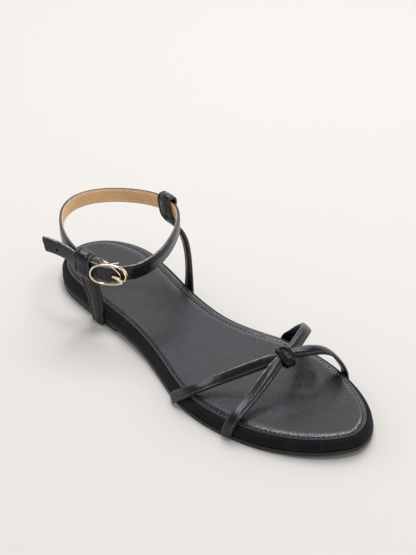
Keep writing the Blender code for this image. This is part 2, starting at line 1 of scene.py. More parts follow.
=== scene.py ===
# %% [markdown]
# # Dressing a flat sandal
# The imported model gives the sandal's plain solids. This lesson replaces each one with finer pieces of
# nearly the same form, gives every surface its own leather, suede, rubber, thread or metal, and sets a
# quiet studio around it. A place on the shoe is written as across (towards the big toe side), station
# (from the heel towards the toe) and height, all in millimetres, so the numbers read like those on a
# shoemaker's last.

# %% Load the frame
import math
from collections import namedtuple

import bpy
import numpy as np
from mathutils import Matrix, Vector


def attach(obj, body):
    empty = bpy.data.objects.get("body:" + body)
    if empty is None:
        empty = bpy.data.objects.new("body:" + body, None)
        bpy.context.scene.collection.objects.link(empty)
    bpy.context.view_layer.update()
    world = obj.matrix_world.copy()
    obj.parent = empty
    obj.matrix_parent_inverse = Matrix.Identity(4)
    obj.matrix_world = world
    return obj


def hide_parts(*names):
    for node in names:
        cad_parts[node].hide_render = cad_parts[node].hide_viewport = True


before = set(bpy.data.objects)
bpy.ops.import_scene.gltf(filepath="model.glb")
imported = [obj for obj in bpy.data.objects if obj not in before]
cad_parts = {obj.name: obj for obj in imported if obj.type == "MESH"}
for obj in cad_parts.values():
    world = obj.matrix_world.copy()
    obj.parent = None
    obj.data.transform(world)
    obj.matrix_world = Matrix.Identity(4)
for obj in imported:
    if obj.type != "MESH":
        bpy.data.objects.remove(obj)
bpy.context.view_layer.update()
MM = 0.001
print("frame nodes:", ", ".join(sorted(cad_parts)))

# %% [markdown]
# ## Places and smooth routes
# Every strap follows a route of a few listed folds. A natural cubic through them gives the
# flowing line that leather takes between two folds. The frame says where the back of the heel is, so all
# places start there.

# %% Places and routes
HEEL_CENTRE = 0.8
FINE_STEPS = 12
heel_back = max((v.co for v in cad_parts["footbed"].data.vertices), key=lambda c: c.y)
START = Vector((heel_back.x / MM - HEEL_CENTRE, heel_back.y / MM, 0))


def place(across, station, height):
    """Point in the frame, in millimetres, of a place on the shoe."""
    return np.array((START.x + across, START.y - station, height))


def cubic(knots, values, wanted):
    """Natural cubic curve through values at knots, read at the wanted places."""
    x = np.asarray(knots, float)
    y = np.asarray(values, float).reshape(len(x), -1)
    gap = np.diff(x)
    slope = np.diff(y, axis=0) / gap[:, None]
    system = np.eye(len(x))
    right = np.zeros_like(y)
    for i in range(1, len(x) - 1):
        system[i, i - 1:i + 2] = gap[i - 1], 2 * (gap[i - 1] + gap[i]), gap[i]
        right[i] = 6 * (slope[i] - slope[i - 1])
    bend = np.linalg.solve(system, right)
    t = np.clip(np.asarray(wanted, float), x[0], x[-1])
    i = np.clip(np.searchsorted(x, t) - 1, 0, len(x) - 2)
    before = ((t - x[i]) / gap[i])[:, None]
    after = 1 - before
    curve = (after ** 3 - after) * bend[i] + (before ** 3 - before) * bend[i + 1]
    return after * y[i] + before * y[i + 1] + curve * (gap[i] ** 2)[:, None] / 6


def run_along(points):
    """Distance of each point from the first, along a line of points."""
    return np.concatenate(([0], np.cumsum(np.linalg.norm(np.diff(points, axis=0), axis=1))))


def read_at(points, run, wanted):
    """Places on a line of points at the wanted distances."""
    return np.stack([np.interp(wanted, run, points[:, k]) for k in range(3)], axis=1)


def smooth_path(points, count):
    """Evenly spaced points on one smooth curve through the given points."""
    rows = np.array(points)
    knots = run_along(rows)
    fine = cubic(knots, rows, np.linspace(0, knots[-1], FINE_STEPS * count))
    run = run_along(fine)
    return read_at(fine, run, np.linspace(0, run[-1], count))


def full_turn(count):
    """Angles of an even walk round a circle."""
    return 2 * math.pi * np.arange(count) / count


def smoothstep(low, high, value):
    t = np.clip((np.asarray(value, float) - low) / (high - low), 0, 1)
    return t * t * (3 - 2 * t)


def unit(rows):
    return rows / np.linalg.norm(rows, axis=-1, keepdims=True)


def table(kind, *rows):
    """Named rows of one kind."""
    return [kind(*row) for row in rows]


print("back of the heel at", np.round(place(0, 0, 0), 2), "mm")

# %% [markdown]
# ## Camera
# The camera keeps the photograph's angle: from above the outer side of the toe, with a long lens. Its
# place and turn were fitted to the outline of the sole, so they are driving values here. The lens is
# worked out from the picture's height in pixels, because a vertical sensor fit ties the lens to that
# side.

# %% Make the camera
PICTURE_HEIGHT = 555
FOCAL_PIXELS = 1556.4
SENSOR = 36
CAMERA_FROM_HEEL = Vector((-413.42, -706.89, 481.43))
CAMERA_AZIMUTH = math.radians(-35.69)
CAMERA_ELEVATION = math.radians(31.35)
CAMERA_ROLL = math.radians(-1.29)

bpy.ops.object.camera_add(location=(START + CAMERA_FROM_HEEL) * MM)
camera = bpy.context.object
camera.name = "camera"
camera.data.sensor_fit = "VERTICAL"
camera.data.sensor_height = SENSOR
camera.data.lens = FOCAL_PIXELS * SENSOR / PICTURE_HEIGHT
turn = Matrix.Rotation(CAMERA_AZIMUTH, 3, "Z") @ Matrix.Rotation(math.pi / 2 - CAMERA_ELEVATION, 3, "X")
camera.rotation_euler = (turn @ Matrix.Rotation(CAMERA_ROLL, 3, "Z")).to_euler()
bpy.context.scene.camera = camera
print("lens %.1f mm" % camera.data.lens)

# %% [markdown]
# ## Lofting
# A strap, a sole layer and a wire are all a closed section carried through a row of places. By hand one
# would extrude the section row by row, but the straps twist as they go, so a grid is added and its
# corners are laid on the rings in one go. Joining the doubles closes the seam, and the grid's own UV map
# stays: U runs round the section and V along the piece, which the materials use later.

# %% Loft helper
SMOOTH_ANGLE = 60
JOIN_WITHIN = 0.002
SHORTEST_EDGE = 0.001


def loft(name, rings, smooth_angle=SMOOTH_ANGLE):
    """Closed piece through rings of points in millimetres; a ring of equal points closes an end."""
    rings = np.asarray(rings, float)
    rows, sides = rings.shape[0] - 1, rings.shape[1]
    bpy.ops.mesh.primitive_grid_add(x_subdivisions=sides, y_subdivisions=rows, size=2)
    piece = bpy.context.object
    piece.name = name
    piece.data.name = name
    flat = np.empty(len(piece.data.vertices) * 3, np.float32)
    piece.data.vertices.foreach_get("co", flat)
    flat = flat.reshape(-1, 3)
    side = np.rint((flat[:, 0] + 1) / 2 * sides).astype(int) % sides
    row = np.rint((flat[:, 1] + 1) / 2 * rows).astype(int)
    piece.data.vertices.foreach_set("co", (rings[row, side] * MM).astype(np.float32).ravel())
    finish_mesh(smooth_angle)
    return piece


def finish_mesh(smooth_angle):
    """Joins doubles on the active piece, turns its faces outwards and shades it smooth."""
    bpy.ops.object.mode_set(mode="EDIT")
    bpy.ops.mesh.select_all(action="SELECT")
    bpy.ops.mesh.remove_doubles(threshold=JOIN_WITHIN * MM)
    bpy.ops.mesh.dissolve_degenerate(threshold=SHORTEST_EDGE * MM)
    bpy.ops.mesh.select_all(action="SELECT")
    bpy.ops.mesh.normals_make_consistent(inside=False)
    bpy.ops.object.mode_set(mode="OBJECT")
    bpy.ops.object.shade_smooth_by_angle(angle=math.radians(smooth_angle))


def dress(piece, material, slot, *nodes):
    """Gives a piece its material and ties it to the frame."""
    piece.data.materials.clear()
    piece.data.materials.append(material)
    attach(piece, "root")
    if nodes:
        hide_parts(*nodes)
    print("%s: %d faces" % (piece.name, len(piece.data.polygons)))


# %% [markdown]
# ## Material helpers
# All finishes are made of nodes: Object coordinates for grain that runs through the piece, the UV map
# where a mark follows an edge. Blender measures in metres, so a grain of half a millimetre is a texture
# scale of 2000.

# %% Material helpers
SPAN_SOCKETS = ("From Min", "From Max", "To Min", "To Max")
MIX_COLOURS, MIX_RESULT = (6, 7), 2


def set_span(node, numbers):
    """Sets a Map Range node to a smooth step: from low, from high, to low, to high."""
    node.interpolation_type = "SMOOTHSTEP"
    for socket, number in zip(SPAN_SOCKETS, numbers):
        node.inputs[socket].default_value = number


class Finish:
    """A material under construction, with short calls to add and link nodes."""

    def __init__(self, name, colour, roughness, metallic=0.0):
        self.material = bpy.data.materials.new(name)
        self.material.use_nodes = True
        self.tree = self.material.node_tree
        self.shader = self.tree.nodes["Principled BSDF"]
        self.constant(Base_Color=(*colour, 1), Roughness=roughness, Metallic=metallic)
        self.coords = self.tree.nodes.new("ShaderNodeTexCoord")
        self.relief = None

    def constant(self, **sockets):
        for name, value in sockets.items():
            self.shader.inputs[name.replace("_", " ")].default_value = value

    def link(self, out, into):
        self.tree.links.new(out, into)

    def node(self, kind, vector, **numbers):
        """A node fed with a vector, with some of its numbers set."""
        node = self.tree.nodes.new("ShaderNode" + kind)
        for name, number in numbers.items():
            node.inputs[name].default_value = number
        self.link(vector, node.inputs["Vector"])
        return node

    def noise(self, size_mm, detail=3.0, roughness=0.55, stretch=None):
        vector = self.coords.outputs["Object"]
        if stretch:
            vector = self.node("Mapping", vector, Scale=stretch).outputs["Vector"]
        scale = 1 / (size_mm * MM)
        return self.node("TexNoise", vector, Scale=scale, Detail=detail, Roughness=roughness).outputs["Fac"]

    def cells(self, size_mm):
        node = self.node("TexVoronoi", self.coords.outputs["Object"], Scale=1 / (size_mm * MM))
        node.feature = "SMOOTH_F1"
        return node.outputs["Distance"]

    def span(self, value, *numbers):
        node = self.tree.nodes.new("ShaderNodeMapRange")
        set_span(node, numbers)
        self.link(value, node.inputs["Value"])
        return node.outputs["Result"]

    def stretch(self, value, ends):
        """One between the inner two of four numbers, fading to nothing at the outer two."""
        return self.product(self.span(value, *ends[:2], 0, 1), self.span(value, *ends[2:], 1, 0))

    def math(self, operation, first, second):
        node = self.tree.nodes.new("ShaderNodeMath")
        node.operation = operation
        for socket, value in zip(node.inputs, (first, second)):
            if isinstance(value, (int, float)):
                socket.default_value = value
            else:
                self.link(value, socket)
        return node.outputs[0]

    def product(self, first, *others):
        for other in others:
            first = self.math("MULTIPLY", first, other)
        return first

    def away(self, value, middle):
        """Distance of a value from a middle number."""
        return self.math("ABSOLUTE", self.math("SUBTRACT", value, middle), 0.0)

    def mix(self, share, *colours):
        """Mix of two colours, or of two sockets, by a share."""
        node = self.tree.nodes.new("ShaderNodeMix")
        node.data_type = "RGBA"
        self.link(share, node.inputs["Factor"])
        for place_in_node, value in zip(MIX_COLOURS, colours):
            if isinstance(value, tuple):
                node.inputs[place_in_node].default_value = (*value, 1)
            else:
                self.link(value, node.inputs[place_in_node])
        return node.outputs[MIX_RESULT]

    def split(self, source, axis):
        return self.node("SeparateXYZ", self.coords.outputs[source]).outputs[axis]

    def around(self):
        """U of the loft: round the section."""
        return self.split("UV", "X")

    def along(self):
        """V of the loft: along the piece."""
        return self.split("UV", "Y")

    def axis(self, axis):
        """One Object coordinate, in metres."""
        return self.split("Object", axis)

    def attribute(self, name):
        """A number stored at the corners of the mesh."""
        node = self.tree.nodes.new("ShaderNodeAttribute")
        node.attribute_name = name
        return node.outputs["Fac"]

    def colour(self, socket):
        self.link(socket, self.shader.inputs["Base Color"])

    def roughness(self, socket):
        self.link(socket, self.shader.inputs["Roughness"])

    def bump(self, socket, depth_mm, strength=1.0):
        """Adds a layer of relief above the earlier ones."""
        node = self.tree.nodes.new("ShaderNodeBump")
        node.inputs["Distance"].default_value = depth_mm * MM
        node.inputs["Strength"].default_value = strength
        self.link(socket, node.inputs["Height"])
        if self.relief:
            self.link(self.relief, node.inputs["Normal"])
        self.relief = node.outputs["Normal"]
        self.link(self.relief, self.shader.inputs["Normal"])


print("material helpers ready")

# %% [markdown]
# ## Leather for the straps
# The straps are thin, smooth black leather with a satin coat and a cool gloss. The grain is very fine, so
# the gloss carries the look: roughness wanders a little, and the coat adds the sharper glints on the
# folded edges. Along a stretch of a strap its edges get a painted highlight, a paler rim in the colour. A
# band of painted reflection and dark seam lines are placed by the UV map, round the section and along
# the strap.

# %% Strap leather
COOL = (0.90, 0.93, 1.0, 1)
STRAP_BLACK = (0.0048, 0.0050, 0.0070)
STRAP_WORN = (0.009, 0.0093, 0.0115)
SEAM_BLACK = (0.0015, 0.0015, 0.002)
SEAM_CORE = 0.4
REFLECTION_BLUER = 1.05
HIGHLIGHT_REACH = (0.05, 0.13)
EVERYWHERE = (-2, -1, 2, 3)
Seam = namedtuple("Seam", "around half along")
ReflectionBand = namedtuple("ReflectionBand", "around along tone")


def strap_leather(name, low_edge_highlight, high_edge_highlight, stretch=EVERYWHERE, gloss=1.0, seams=(), reflection_band=None):
    """Black satin leather with a painted highlight on its edges along a stretch, seam lines and a painted
    reflection band if given.
    """
    finish = Finish(name, STRAP_BLACK, 0.3)
    wear = finish.span(finish.noise(9, 4), 0.45, 0.75, 0, 1)
    colour = finish.mix(wear, STRAP_BLACK, STRAP_WORN)
    u, v = finish.around(), finish.along()
    patchy = finish.span(finish.noise(2.2, 3), 0.34, 0.60, 0.25, 1)
    patchy = finish.product(patchy, finish.stretch(v, stretch))
    low_edge = finish.math("MINIMUM", u, finish.math("SUBTRACT", 1.0, u))
    # Painted highlight: paler rims, in patches, along both edges over the given stretch.
    for edge, rim in ((low_edge, low_edge_highlight), (finish.away(u, 0.5), high_edge_highlight)):
        painted_highlight = finish.product(finish.span(edge, *HIGHLIGHT_REACH, 1, 0), patchy)
        colour = finish.mix(painted_highlight, colour, (rim, rim, rim))
    # Painted reflection: a paler, slightly bluer band painted on the face.
    if reflection_band:
        band = finish.product(finish.stretch(v, reflection_band.along), finish.stretch(u, reflection_band.around))
        colour = finish.mix(band, colour, (reflection_band.tone, reflection_band.tone, reflection_band.tone * REFLECTION_BLUER))
    for seam in seams:
        line = finish.span(finish.away(u, seam.around), SEAM_CORE * seam.half, seam.half, 1, 0)
        colour = finish.mix(finish.product(line, finish.stretch(v, seam.along)), colour, SEAM_BLACK)
    finish.colour(colour)
    finish.roughness(finish.span(finish.noise(2.5, 3), 0.3, 0.7, 0.24, 0.36))
    finish.bump(finish.noise(3.2, 2), 0.10, 0.5)
    finish.bump(finish.cells(0.42), 0.05, 0.3)
    finish.constant(Coat_Weight=0.12 * gloss, Coat_Roughness=0.18)
    finish.constant(Specular_IOR_Level=0.42 * gloss, Specular_Tint=COOL)
    return finish.material


# Stretches along the straps where the edges carry the painted highlight.
TOE_PAINTED_HIGHLIGHT = (0.14, 0.36, 0.50, 0.53)
TIP_PAINTED_HIGHLIGHT = (0.62, 0.72, 2, 3)
INNER_SIDE_RUN = (0.47, 0.53, 0.68, 0.73)
# Band of the ankle strap's outer face that carries the painted reflection.
UPPER_BAND = (0.02, 0.05, 0.238, 0.243)
PRESSED_EDGES = (0.182, 0.2955)
TOE_LEATHER = strap_leather("toe_strap_leather", 0.62, 0.010, TOE_PAINTED_HIGHLIGHT)
ANKLE_LEATHER = strap_leather("ankle_strap_leather", 0.02, 0.32, TIP_PAINTED_HIGHLIGHT,
                              seams=[Seam(0.2455, 0.0045, INNER_SIDE_RUN)],
                              reflection_band=ReflectionBand(UPPER_BAND, INNER_SIDE_RUN, 0.105))
HEEL_LEATHER = strap_leather("heel_strap_leather", 0.045, 0.045,
                             seams=[Seam(around, 0.013, EVERYWHERE) for around in PRESSED_EDGES])
KNOT_LEATHER = strap_leather("knot_leather", 0.006, 0.03, gloss=0.5)
print("strap leathers ready")

# %% [markdown]
# ## Sole shape
# The sole's plan is a round heel, a waist and a round toe, each side with its own curve. The same rule
# with an inset gives the wall, the shoulder and the sock. The layers rise at the heel and a little at the
# toe.

# %% Sole outline
SOLE_LENGTH = 248
HEEL_HALF_WIDTH = 28.8
HEEL_ROUND = 38
TOE_TIP_ACROSS = 6
HEEL_RISE = 3.6
WEDGE_RISE = 2.0
ARCH_START = 66
ARCH_END = 152
TOE_SPRING = 2.6
TOE_SPRING_START = 202
HEEL_BREAST = 80
BREAST_SLOPE = 1.5
SOLE_ROWS = 150
Breadth = namedtuple("Breadth", "station lateral medial")
WAIST = table(
    Breadth,
    (38, 28.8, 28.8), (58, 29.4, 26.6), (78, 28.9, 23.6), (98, 29.2, 22.2), (118, 31.6, 23.8),
    (138, 36.0, 30.4), (153, 39.5, 36.7), (168, 41.2, 40.3), (183, 40.4, 41.3),
)
ToeCurve = namedtuple("ToeCurve", "sign start fullness bluntness")
TOE_CURVES = {"lateral": ToeCurve(-1, 168, 2.0, 0.62), "medial": ToeCurve(1, 183, 2.05, 0.53)}


def half_width(side, stations):
    """Distance of the sole's wall from the middle line at each station."""
    toe = TOE_CURVES[side]
    knots = [row.station for row in WAIST]
    widths = [getattr(row, side) for row in WAIST]
    waist = toe.sign * cubic(knots, widths, np.minimum(stations, toe.start))[:, 0]
    back = np.clip(1 - stations / HEEL_ROUND, 0, 1)
    heel = toe.sign * HEEL_HALF_WIDTH * np.sqrt(1 - back ** 2) + HEEL_CENTRE * back
    share = np.clip((SOLE_LENGTH - stations) / (SOLE_LENGTH - toe.start), 0, 1)
    taper = np.clip(1 - (1 - share) ** toe.fullness, 0, 1) ** toe.bluntness
    front = TOE_TIP_ACROSS + (waist - TOE_TIP_ACROSS) * taper
    return np.where(stations < HEEL_ROUND, heel, np.where(stations > toe.start, front, waist))


def outline(inset):
    """Closed plan outline, rows of across and station, moved inwards by a size or a rule for stations."""
    turns = np.linspace(0, math.pi, SOLE_ROWS + 1)
    breast = [HEEL_BREAST, HEEL_BREAST + BREAST_SLOPE]
    stations = SOLE_LENGTH * (1 - np.cos(turns)) / 2
    stations = np.sort(np.append(stations[np.abs(stations - HEEL_BREAST) > 2 * BREAST_SLOPE], breast))
    lateral = np.stack([half_width("lateral", stations), stations], axis=1)
    medial = np.stack([half_width("medial", stations), stations], axis=1)
    loop = np.concatenate([lateral, medial[-2:0:-1]])
    along = unit(np.roll(loop, -1, axis=0) - np.roll(loop, 1, axis=0))
    step = inset(loop[:, 1]) if callable(inset) else np.full(len(loop), float(inset))
    return loop + np.stack([along[:, 1], -along[:, 0]], axis=1) * step[:, None]


def spine(loop):
    """Middle line of an outline: each point halfway to its partner on the other side."""
    partner = np.roll(loop[::-1], 1, axis=0)
    return (loop + partner) / 2


def lift(stations, heel_rise=HEEL_RISE):
    heel = heel_rise * (1 - smoothstep(ARCH_START, ARCH_END, stations))
    toe = np.clip(stations - TOE_SPRING_START, 0, None) / (SOLE_LENGTH - TOE_SPRING_START)
    return heel + TOE_SPRING * toe ** 2


def low_lift(stations):
    return lift(stations, WEDGE_RISE)


def ring_at(loop, heights):
    """Ring of points in the frame from a plan outline and its heights."""
    return np.stack([START.x + loop[:, 0], START.y - loop[:, 1], heights], axis=1)


print("sole outline has", len(outline(0)), "points")

# %% [markdown]
# ## Outsole
# A thin rubber sheet follows the arch and thickens to a low moulded heel behind the breast. Its cut edge
# shows as a dull grey line under the suede. The rings run from the middle of the underside, round the
# edge and back to the middle of the top, so the loft closes by itself.

# %% Outsole
OUTSOLE_THICKNESS = 2.2
OUTSOLE_LIP = 0.6
HEEL_INSET = 0.3
RUBBER_ROUND = 0.4
SEAT_GAP = 0.3
FOOTBED_BASE = OUTSOLE_THICKNESS + SEAT_GAP


def rubber():
    finish = Finish("outsole_rubber", (0.035, 0.035, 0.036), 0.62)
    dust = finish.span(finish.noise(5, 5), 0.4, 0.8, 0, 1)
    finish.colour(finish.mix(dust, (0.013, 0.013, 0.014), (0.026, 0.0255, 0.025)))
    finish.bump(finish.noise(0.5, 2), 0.06, 0.6)
    return finish.material


def outsole_edge(stations):
    forefoot = smoothstep(HEEL_BREAST, ARCH_END, stations)
    return HEEL_INSET - (HEEL_INSET + OUTSOLE_LIP) * forefoot


def under_height(stations):
    return np.where(stations <= HEEL_BREAST, 0.0, low_lift(stations))


def outsole_rings():
    edge = outline(outsole_edge)
    inner = outline(lambda s: outsole_edge(s) + RUBBER_ROUND)
    top = OUTSOLE_THICKNESS + low_lift(edge[:, 1])
    under = under_height(edge[:, 1])
    middle = spine(inner)
    return [
        ring_at(middle, under_height(inner[:, 1])),
        ring_at(inner, under),
        ring_at(edge, under + RUBBER_ROUND),
        ring_at(edge, top - RUBBER_ROUND),
        ring_at(inner, top),
        ring_at(middle, OUTSOLE_THICKNESS + low_lift(middle[:, 1])),
    ]


outsole = loft("outsole_sheet", outsole_rings(), 40)
dress(outsole, rubber(), "outsole_rubber", "outsole")

# %% [markdown]
# ## Suede footbed
# The board under the foot is wrapped in black suede that turns over a round shoulder. Suede has no gloss:
# its nap scatters light, so the finish is fully rough with a faint sheen. A coarse noise makes the
# brushed patches and a fine one the nap. A faint paler line by the toe is the seam where the wrap's ends
# meet.

# %% Footbed
FOOTBED_THICKNESS = 5.1
SHOULDER_INSET = 3.0
SHOULDER_DROP = 3.6
SHOULDER_STEPS = 9
WRAP_ROUND = 0.45
WRAP_SEAM = 0.4425
WRAP_SEAM_WIDTH = (0.0002, 0.0006)


def suede():
    finish = Finish("footbed_suede", (0.009, 0.0092, 0.0105), 1.0)
    brushed = finish.span(finish.noise(7, 4, 0.6, (1, 1, 0.4)), 0.35, 0.7, 0, 1)
    nap = finish.mix(brushed, (0.0092, 0.0097, 0.0130), (0.0138, 0.0144, 0.0178))
    seam = finish.span(finish.away(finish.around(), WRAP_SEAM), *WRAP_SEAM_WIDTH, 1, 0)
    finish.colour(finish.mix(seam, nap, (0.026, 0.0265, 0.030)))
    finish.bump(finish.noise(0.35, 4, 0.7), 0.12, 0.6)
    finish.constant(Sheen_Weight=0.03, Sheen_Roughness=0.6, Specular_IOR_Level=0.08)
    return finish.material


def footbed_rings():
    crown = FOOTBED_BASE + FOOTBED_THICKNESS
    low = outline(WRAP_ROUND)
    wall = outline(0)
    rings = [
        ring_at(spine(low), FOOTBED_BASE + low_lift(spine(low)[:, 1])),
        ring_at(low, FOOTBED_BASE + low_lift(low[:, 1])),
        ring_at(wall, FOOTBED_BASE + WRAP_ROUND + low_lift(wall[:, 1])),
    ]
    for turn in np.linspace(0, math.pi / 2, SHOULDER_STEPS):
        loop = outline(SHOULDER_INSET * (1 - math.cos(turn)))
        rings.append(ring_at(loop, crown - SHOULDER_DROP * (1 - math.sin(turn)) + lift(loop[:, 1])))
    middle = spine(loop)
    rings.append(ring_at(middle, crown + lift(middle[:, 1])))
    return rings


footbed = loft("suede_footbed", footbed_rings())
dress(footbed, suede(), "footbed_suede", "footbed")

# %% [markdown]
# ## Leather sock
# The sock is the grey sheet the foot stands on. Its edge is cut and pale, and a line of stitches pulls a
# shallow groove close inside it, from where the leather swells to a soft shoulder. This border is wider
# along the inner side and narrower and flatter along the outer. Wear has left soft troughs and ridges
# under the toes. They are placed as short rounded folds, each from one place to another with its own
# width and height, and the mesh stores that height as "press", so the finish can paint shade into the
# troughs and a highlight onto the ridges. Two stretches of the border get a painted highlight, the arch a
# painted sheen.

# %% Sock shape
INSOLE_INSET = 3.2
INSOLE_THICKNESS = 1.0
SOCK_ROUND = 0.4
STITCH_INSET = 1.9
GROOVE_WIDTH = 0.5
GROOVE_DEPTH = 0.12
PILLOW_RADIUS = 5.5
PILLOW_WIDTH = 3.0
PILLOW_RISE = 0.3
INNER_WIDER = 0.9
OUTER_NARROWER = 0.3
OUTER_FLATTER = 0.45
BORDER_START, BORDER_STOP = (4, 24), (150, 185)
SIDE_REACH = 8
SOCK_COLUMNS = 34
SOCK_BORDER = (0.0, 0.12, 0.4, 0.8, 1.2, 1.45, 1.7, 1.9, 2.1, 2.35, 2.7, 3.1, 3.6, 4.2, 5.0, 6.5)
SOCK_BASE = OUTSOLE_THICKNESS + FOOTBED_THICKNESS + 2 * SEAT_GAP
SOCK_TOP = SOCK_BASE + INSOLE_THICKNESS + PILLOW_RISE
# A soft fold in the sock: from one place to another, its half width and its height, trough below zero
Dent = namedtuple("Dent", "across station to_across to_station width height")
DENTS = table(
    Dent,
    (26, 180, 19, 191, 4.5, -0.36), (19, 191, 9, 203, 5.2, -0.54), (9, 203, -4, 212, 5.2, -0.50),
    (-12, 213, 32, 203, 5.5, -0.14), (31, 202, 33, 204, 3.5, -0.24), (-12, 198, -8, 204, 8.0, 0.30),
    (12, 221, 26, 214, 7.0, 0.30), (26, 192, 27, 196, 5.0, 0.28),
)


def dents(across, stations):
    """Height of all soft folds at a place on the sock."""
    height = np.zeros_like(across)
    for dent in DENTS:
        start = np.array((dent.across, dent.station), float)
        run = np.array((dent.to_across, dent.to_station), float) - start
        offset = np.stack([across, stations], axis=-1) - start
        share = np.clip(offset @ run / (run @ run), 0, 1)
        away = np.linalg.norm(offset - share[..., None] * run, axis=-1)
        height += dent.height * np.exp(-(away / dent.width) ** 2)
    return height


def sides(loop):
    """Shares of the inner and of the outer side, from the heel to the straps, at places on the sock."""
    length = smoothstep(*BORDER_START, loop[:, 1]) * (1 - smoothstep(*BORDER_STOP, loop[:, 1]))
    inner = smoothstep(-SIDE_REACH, SIDE_REACH, loop[:, 0])
    return length * inner, length * (1 - inner)


def sock_border(inset):
    """Outline inside the sock's edge by an inset, larger on the inner side and smaller on the outer."""
    plain = outline(INSOLE_INSET + inset)
    inner, outer = sides(plain)
    deep = outline(INSOLE_INSET + 2 * inset)
    return plain + (deep - plain) * (INNER_WIDER * inner - OUTER_NARROWER * outer)[:, None]


def sock_height(loop, inset):
    """Top of the sock at places a given inset from its edge."""
    groove = GROOVE_DEPTH * math.exp(-((inset - STITCH_INSET) / GROOVE_WIDTH) ** 2)
    edge = SOCK_ROUND * (1 - math.sqrt(1 - max(1 - inset / SOCK_ROUND, 0) ** 2))
    short = max(PILLOW_WIDTH - max(inset - STITCH_INSET, 0), 0)
    pillow = PILLOW_RADIUS - math.sqrt(PILLOW_RADIUS ** 2 - short ** 2)
    edge = edge + pillow * (1 - OUTER_FLATTER * sides(loop)[1])
    calm = float(smoothstep(STITCH_INSET, 3 * STITCH_INSET, inset))
    return SOCK_TOP + lift(loop[:, 1]) - groove - edge + calm * dents(loop[:, 0], loop[:, 1])


def sock_rings():
    foot = outline(INSOLE_INSET)
    rings = [ring_at(flat, SOCK_BASE + lift(flat[:, 1])) for flat in (spine(foot), foot)]
    for inset in SOCK_BORDER:
        loop = sock_border(inset)
        rings.append(ring_at(loop, sock_height(loop, inset)))
    middle = spine(loop)
    for share in np.linspace(0, 1, SOCK_COLUMNS)[1:]:
        inner = loop + (middle - loop) * share
        rings.append(ring_at(inner, sock_height(inner, SOCK_BORDER[-1])))
    return rings


sock = loft("leather_sock", sock_rings())
corners = np.array([v.co[:] for v in sock.data.vertices]) / MM
press = sock.data.attributes.new("press", "FLOAT", "POINT")
press.data.foreach_set("value", dents(corners[:, 0] - START.x, START.y - corners[:, 1]).astype(np.float32))
print("folds from %.2f to %.2f mm" % (min(d.height for d in DENTS), max(d.height for d in DENTS)))

# %% Sock leather
# Step in V from one ring of the sock's loft to the next
SOCK_RING = 1 / (len(SOCK_BORDER) + SOCK_COLUMNS)
# Where the border gets a painted highlight: rings of the loft, then spans in metres lengthwise and across
BorderHighlight = namedtuple("BorderHighlight", "rings lengthwise across tone")
BORDER_HIGHLIGHTS = [
    BorderHighlight((10.2, 11.2, 12.8, 14.4), (-0.074, -0.088), (0.014, 0.030), (0.31, 0.305, 0.295)),
    BorderHighlight((5.5, 7.0, 8.5, 9.5), (0.012, -0.018), (0.030, 0.024), (0.26, 0.255, 0.25)),
]
ROUGH_BORDER = (3.5, 5, 9, 12)
CUT_EDGE = (2.4, 4.2)
ARCH_FROM, ARCH_TO = (0.085, 0.020), (-0.068, -0.030)


def sock_rings_span(rings):
    return [ring * SOCK_RING for ring in rings]


def sock_leather():
    """Grey satin leather with painted sheen at the arch and painted shade and highlights; V of the loft
    tells the cut edge from the face.
    """
    finish = Finish("sock_leather", (0.022, 0.022, 0.024), 0.48)
    v, lengthwise, press_share = finish.along(), finish.axis("Y"), finish.attribute("press")
    cut = finish.span(v, *sock_rings_span(CUT_EDGE), 1, 0)
    border = finish.stretch(v, sock_rings_span(ROUGH_BORDER))
    # Painted sheen: the face is paler at the arch, in patches.
    painted_arch_sheen = finish.product(finish.span(finish.noise(14, 5), 0.30, 0.7, 0.55, 1),
                             finish.span(lengthwise, *ARCH_FROM, 0, 1),
                             finish.span(lengthwise, *ARCH_TO, 0, 1))
    face = finish.mix(painted_arch_sheen, (0.0090, 0.0093, 0.0122), (0.023, 0.0236, 0.0285))
    # Painted shade in the troughs of the folds, and a painted highlight on their ridges.
    face = finish.mix(finish.span(press_share, -0.45, -0.05, 0.75, 0), face, (0.004, 0.0042, 0.006))
    face = finish.mix(finish.span(press_share, 0.05, 0.4, 0, 0.6), face, (0.021, 0.0214, 0.025))
    # Pale grain spots, which are also painted glints.
    grain_and_glint_specks = finish.span(finish.noise(0.85, 2), 0.55, 0.70, 0, 0.8)
    face = finish.mix(grain_and_glint_specks, face, (0.050, 0.050, 0.054))
    # Painted highlights on two stretches of the border.
    for border_highlight in BORDER_HIGHLIGHTS:
        painted_highlight = finish.product(finish.span(finish.noise(1.1, 3), 0.36, 0.60, 0.15, 1),
                                finish.stretch(v, sock_rings_span(border_highlight.rings)),
                                finish.span(lengthwise, *border_highlight.lengthwise, 0, 1),
                                finish.span(finish.axis("X"), *border_highlight.across, 1, 0))
        face = finish.mix(painted_highlight, face, border_highlight.tone)
    finish.colour(finish.mix(cut, face, (0.085, 0.083, 0.081)))
    finish.roughness(finish.span(finish.noise(1.2, 3), 0.3, 0.7, 0.26, 0.38))
    finish.bump(finish.noise(4.5, 3), 0.12, 0.5)
    finish.bump(finish.cells(0.75), 0.12, 0.6)
    finish.bump(finish.product(finish.noise(1.3, 2), border), 0.5, 0.8)
    finish.constant(Specular_IOR_Level=0.34, Specular_Tint=COOL)
    return finish.material


dress(sock, sock_leather(), "sock_leather", "insole")

# %% [markdown]
# ## Strap sections
# Each strap is leather folded over a filler, so its section is a soft rectangle, a little crowned, with
# rounded edges. A line of stitches pulls a narrow groove into it. The section is a list of points round
# the strap: first the outer face from edge to edge, then the inner face back again. A cap of smaller
# sections closes an open end.

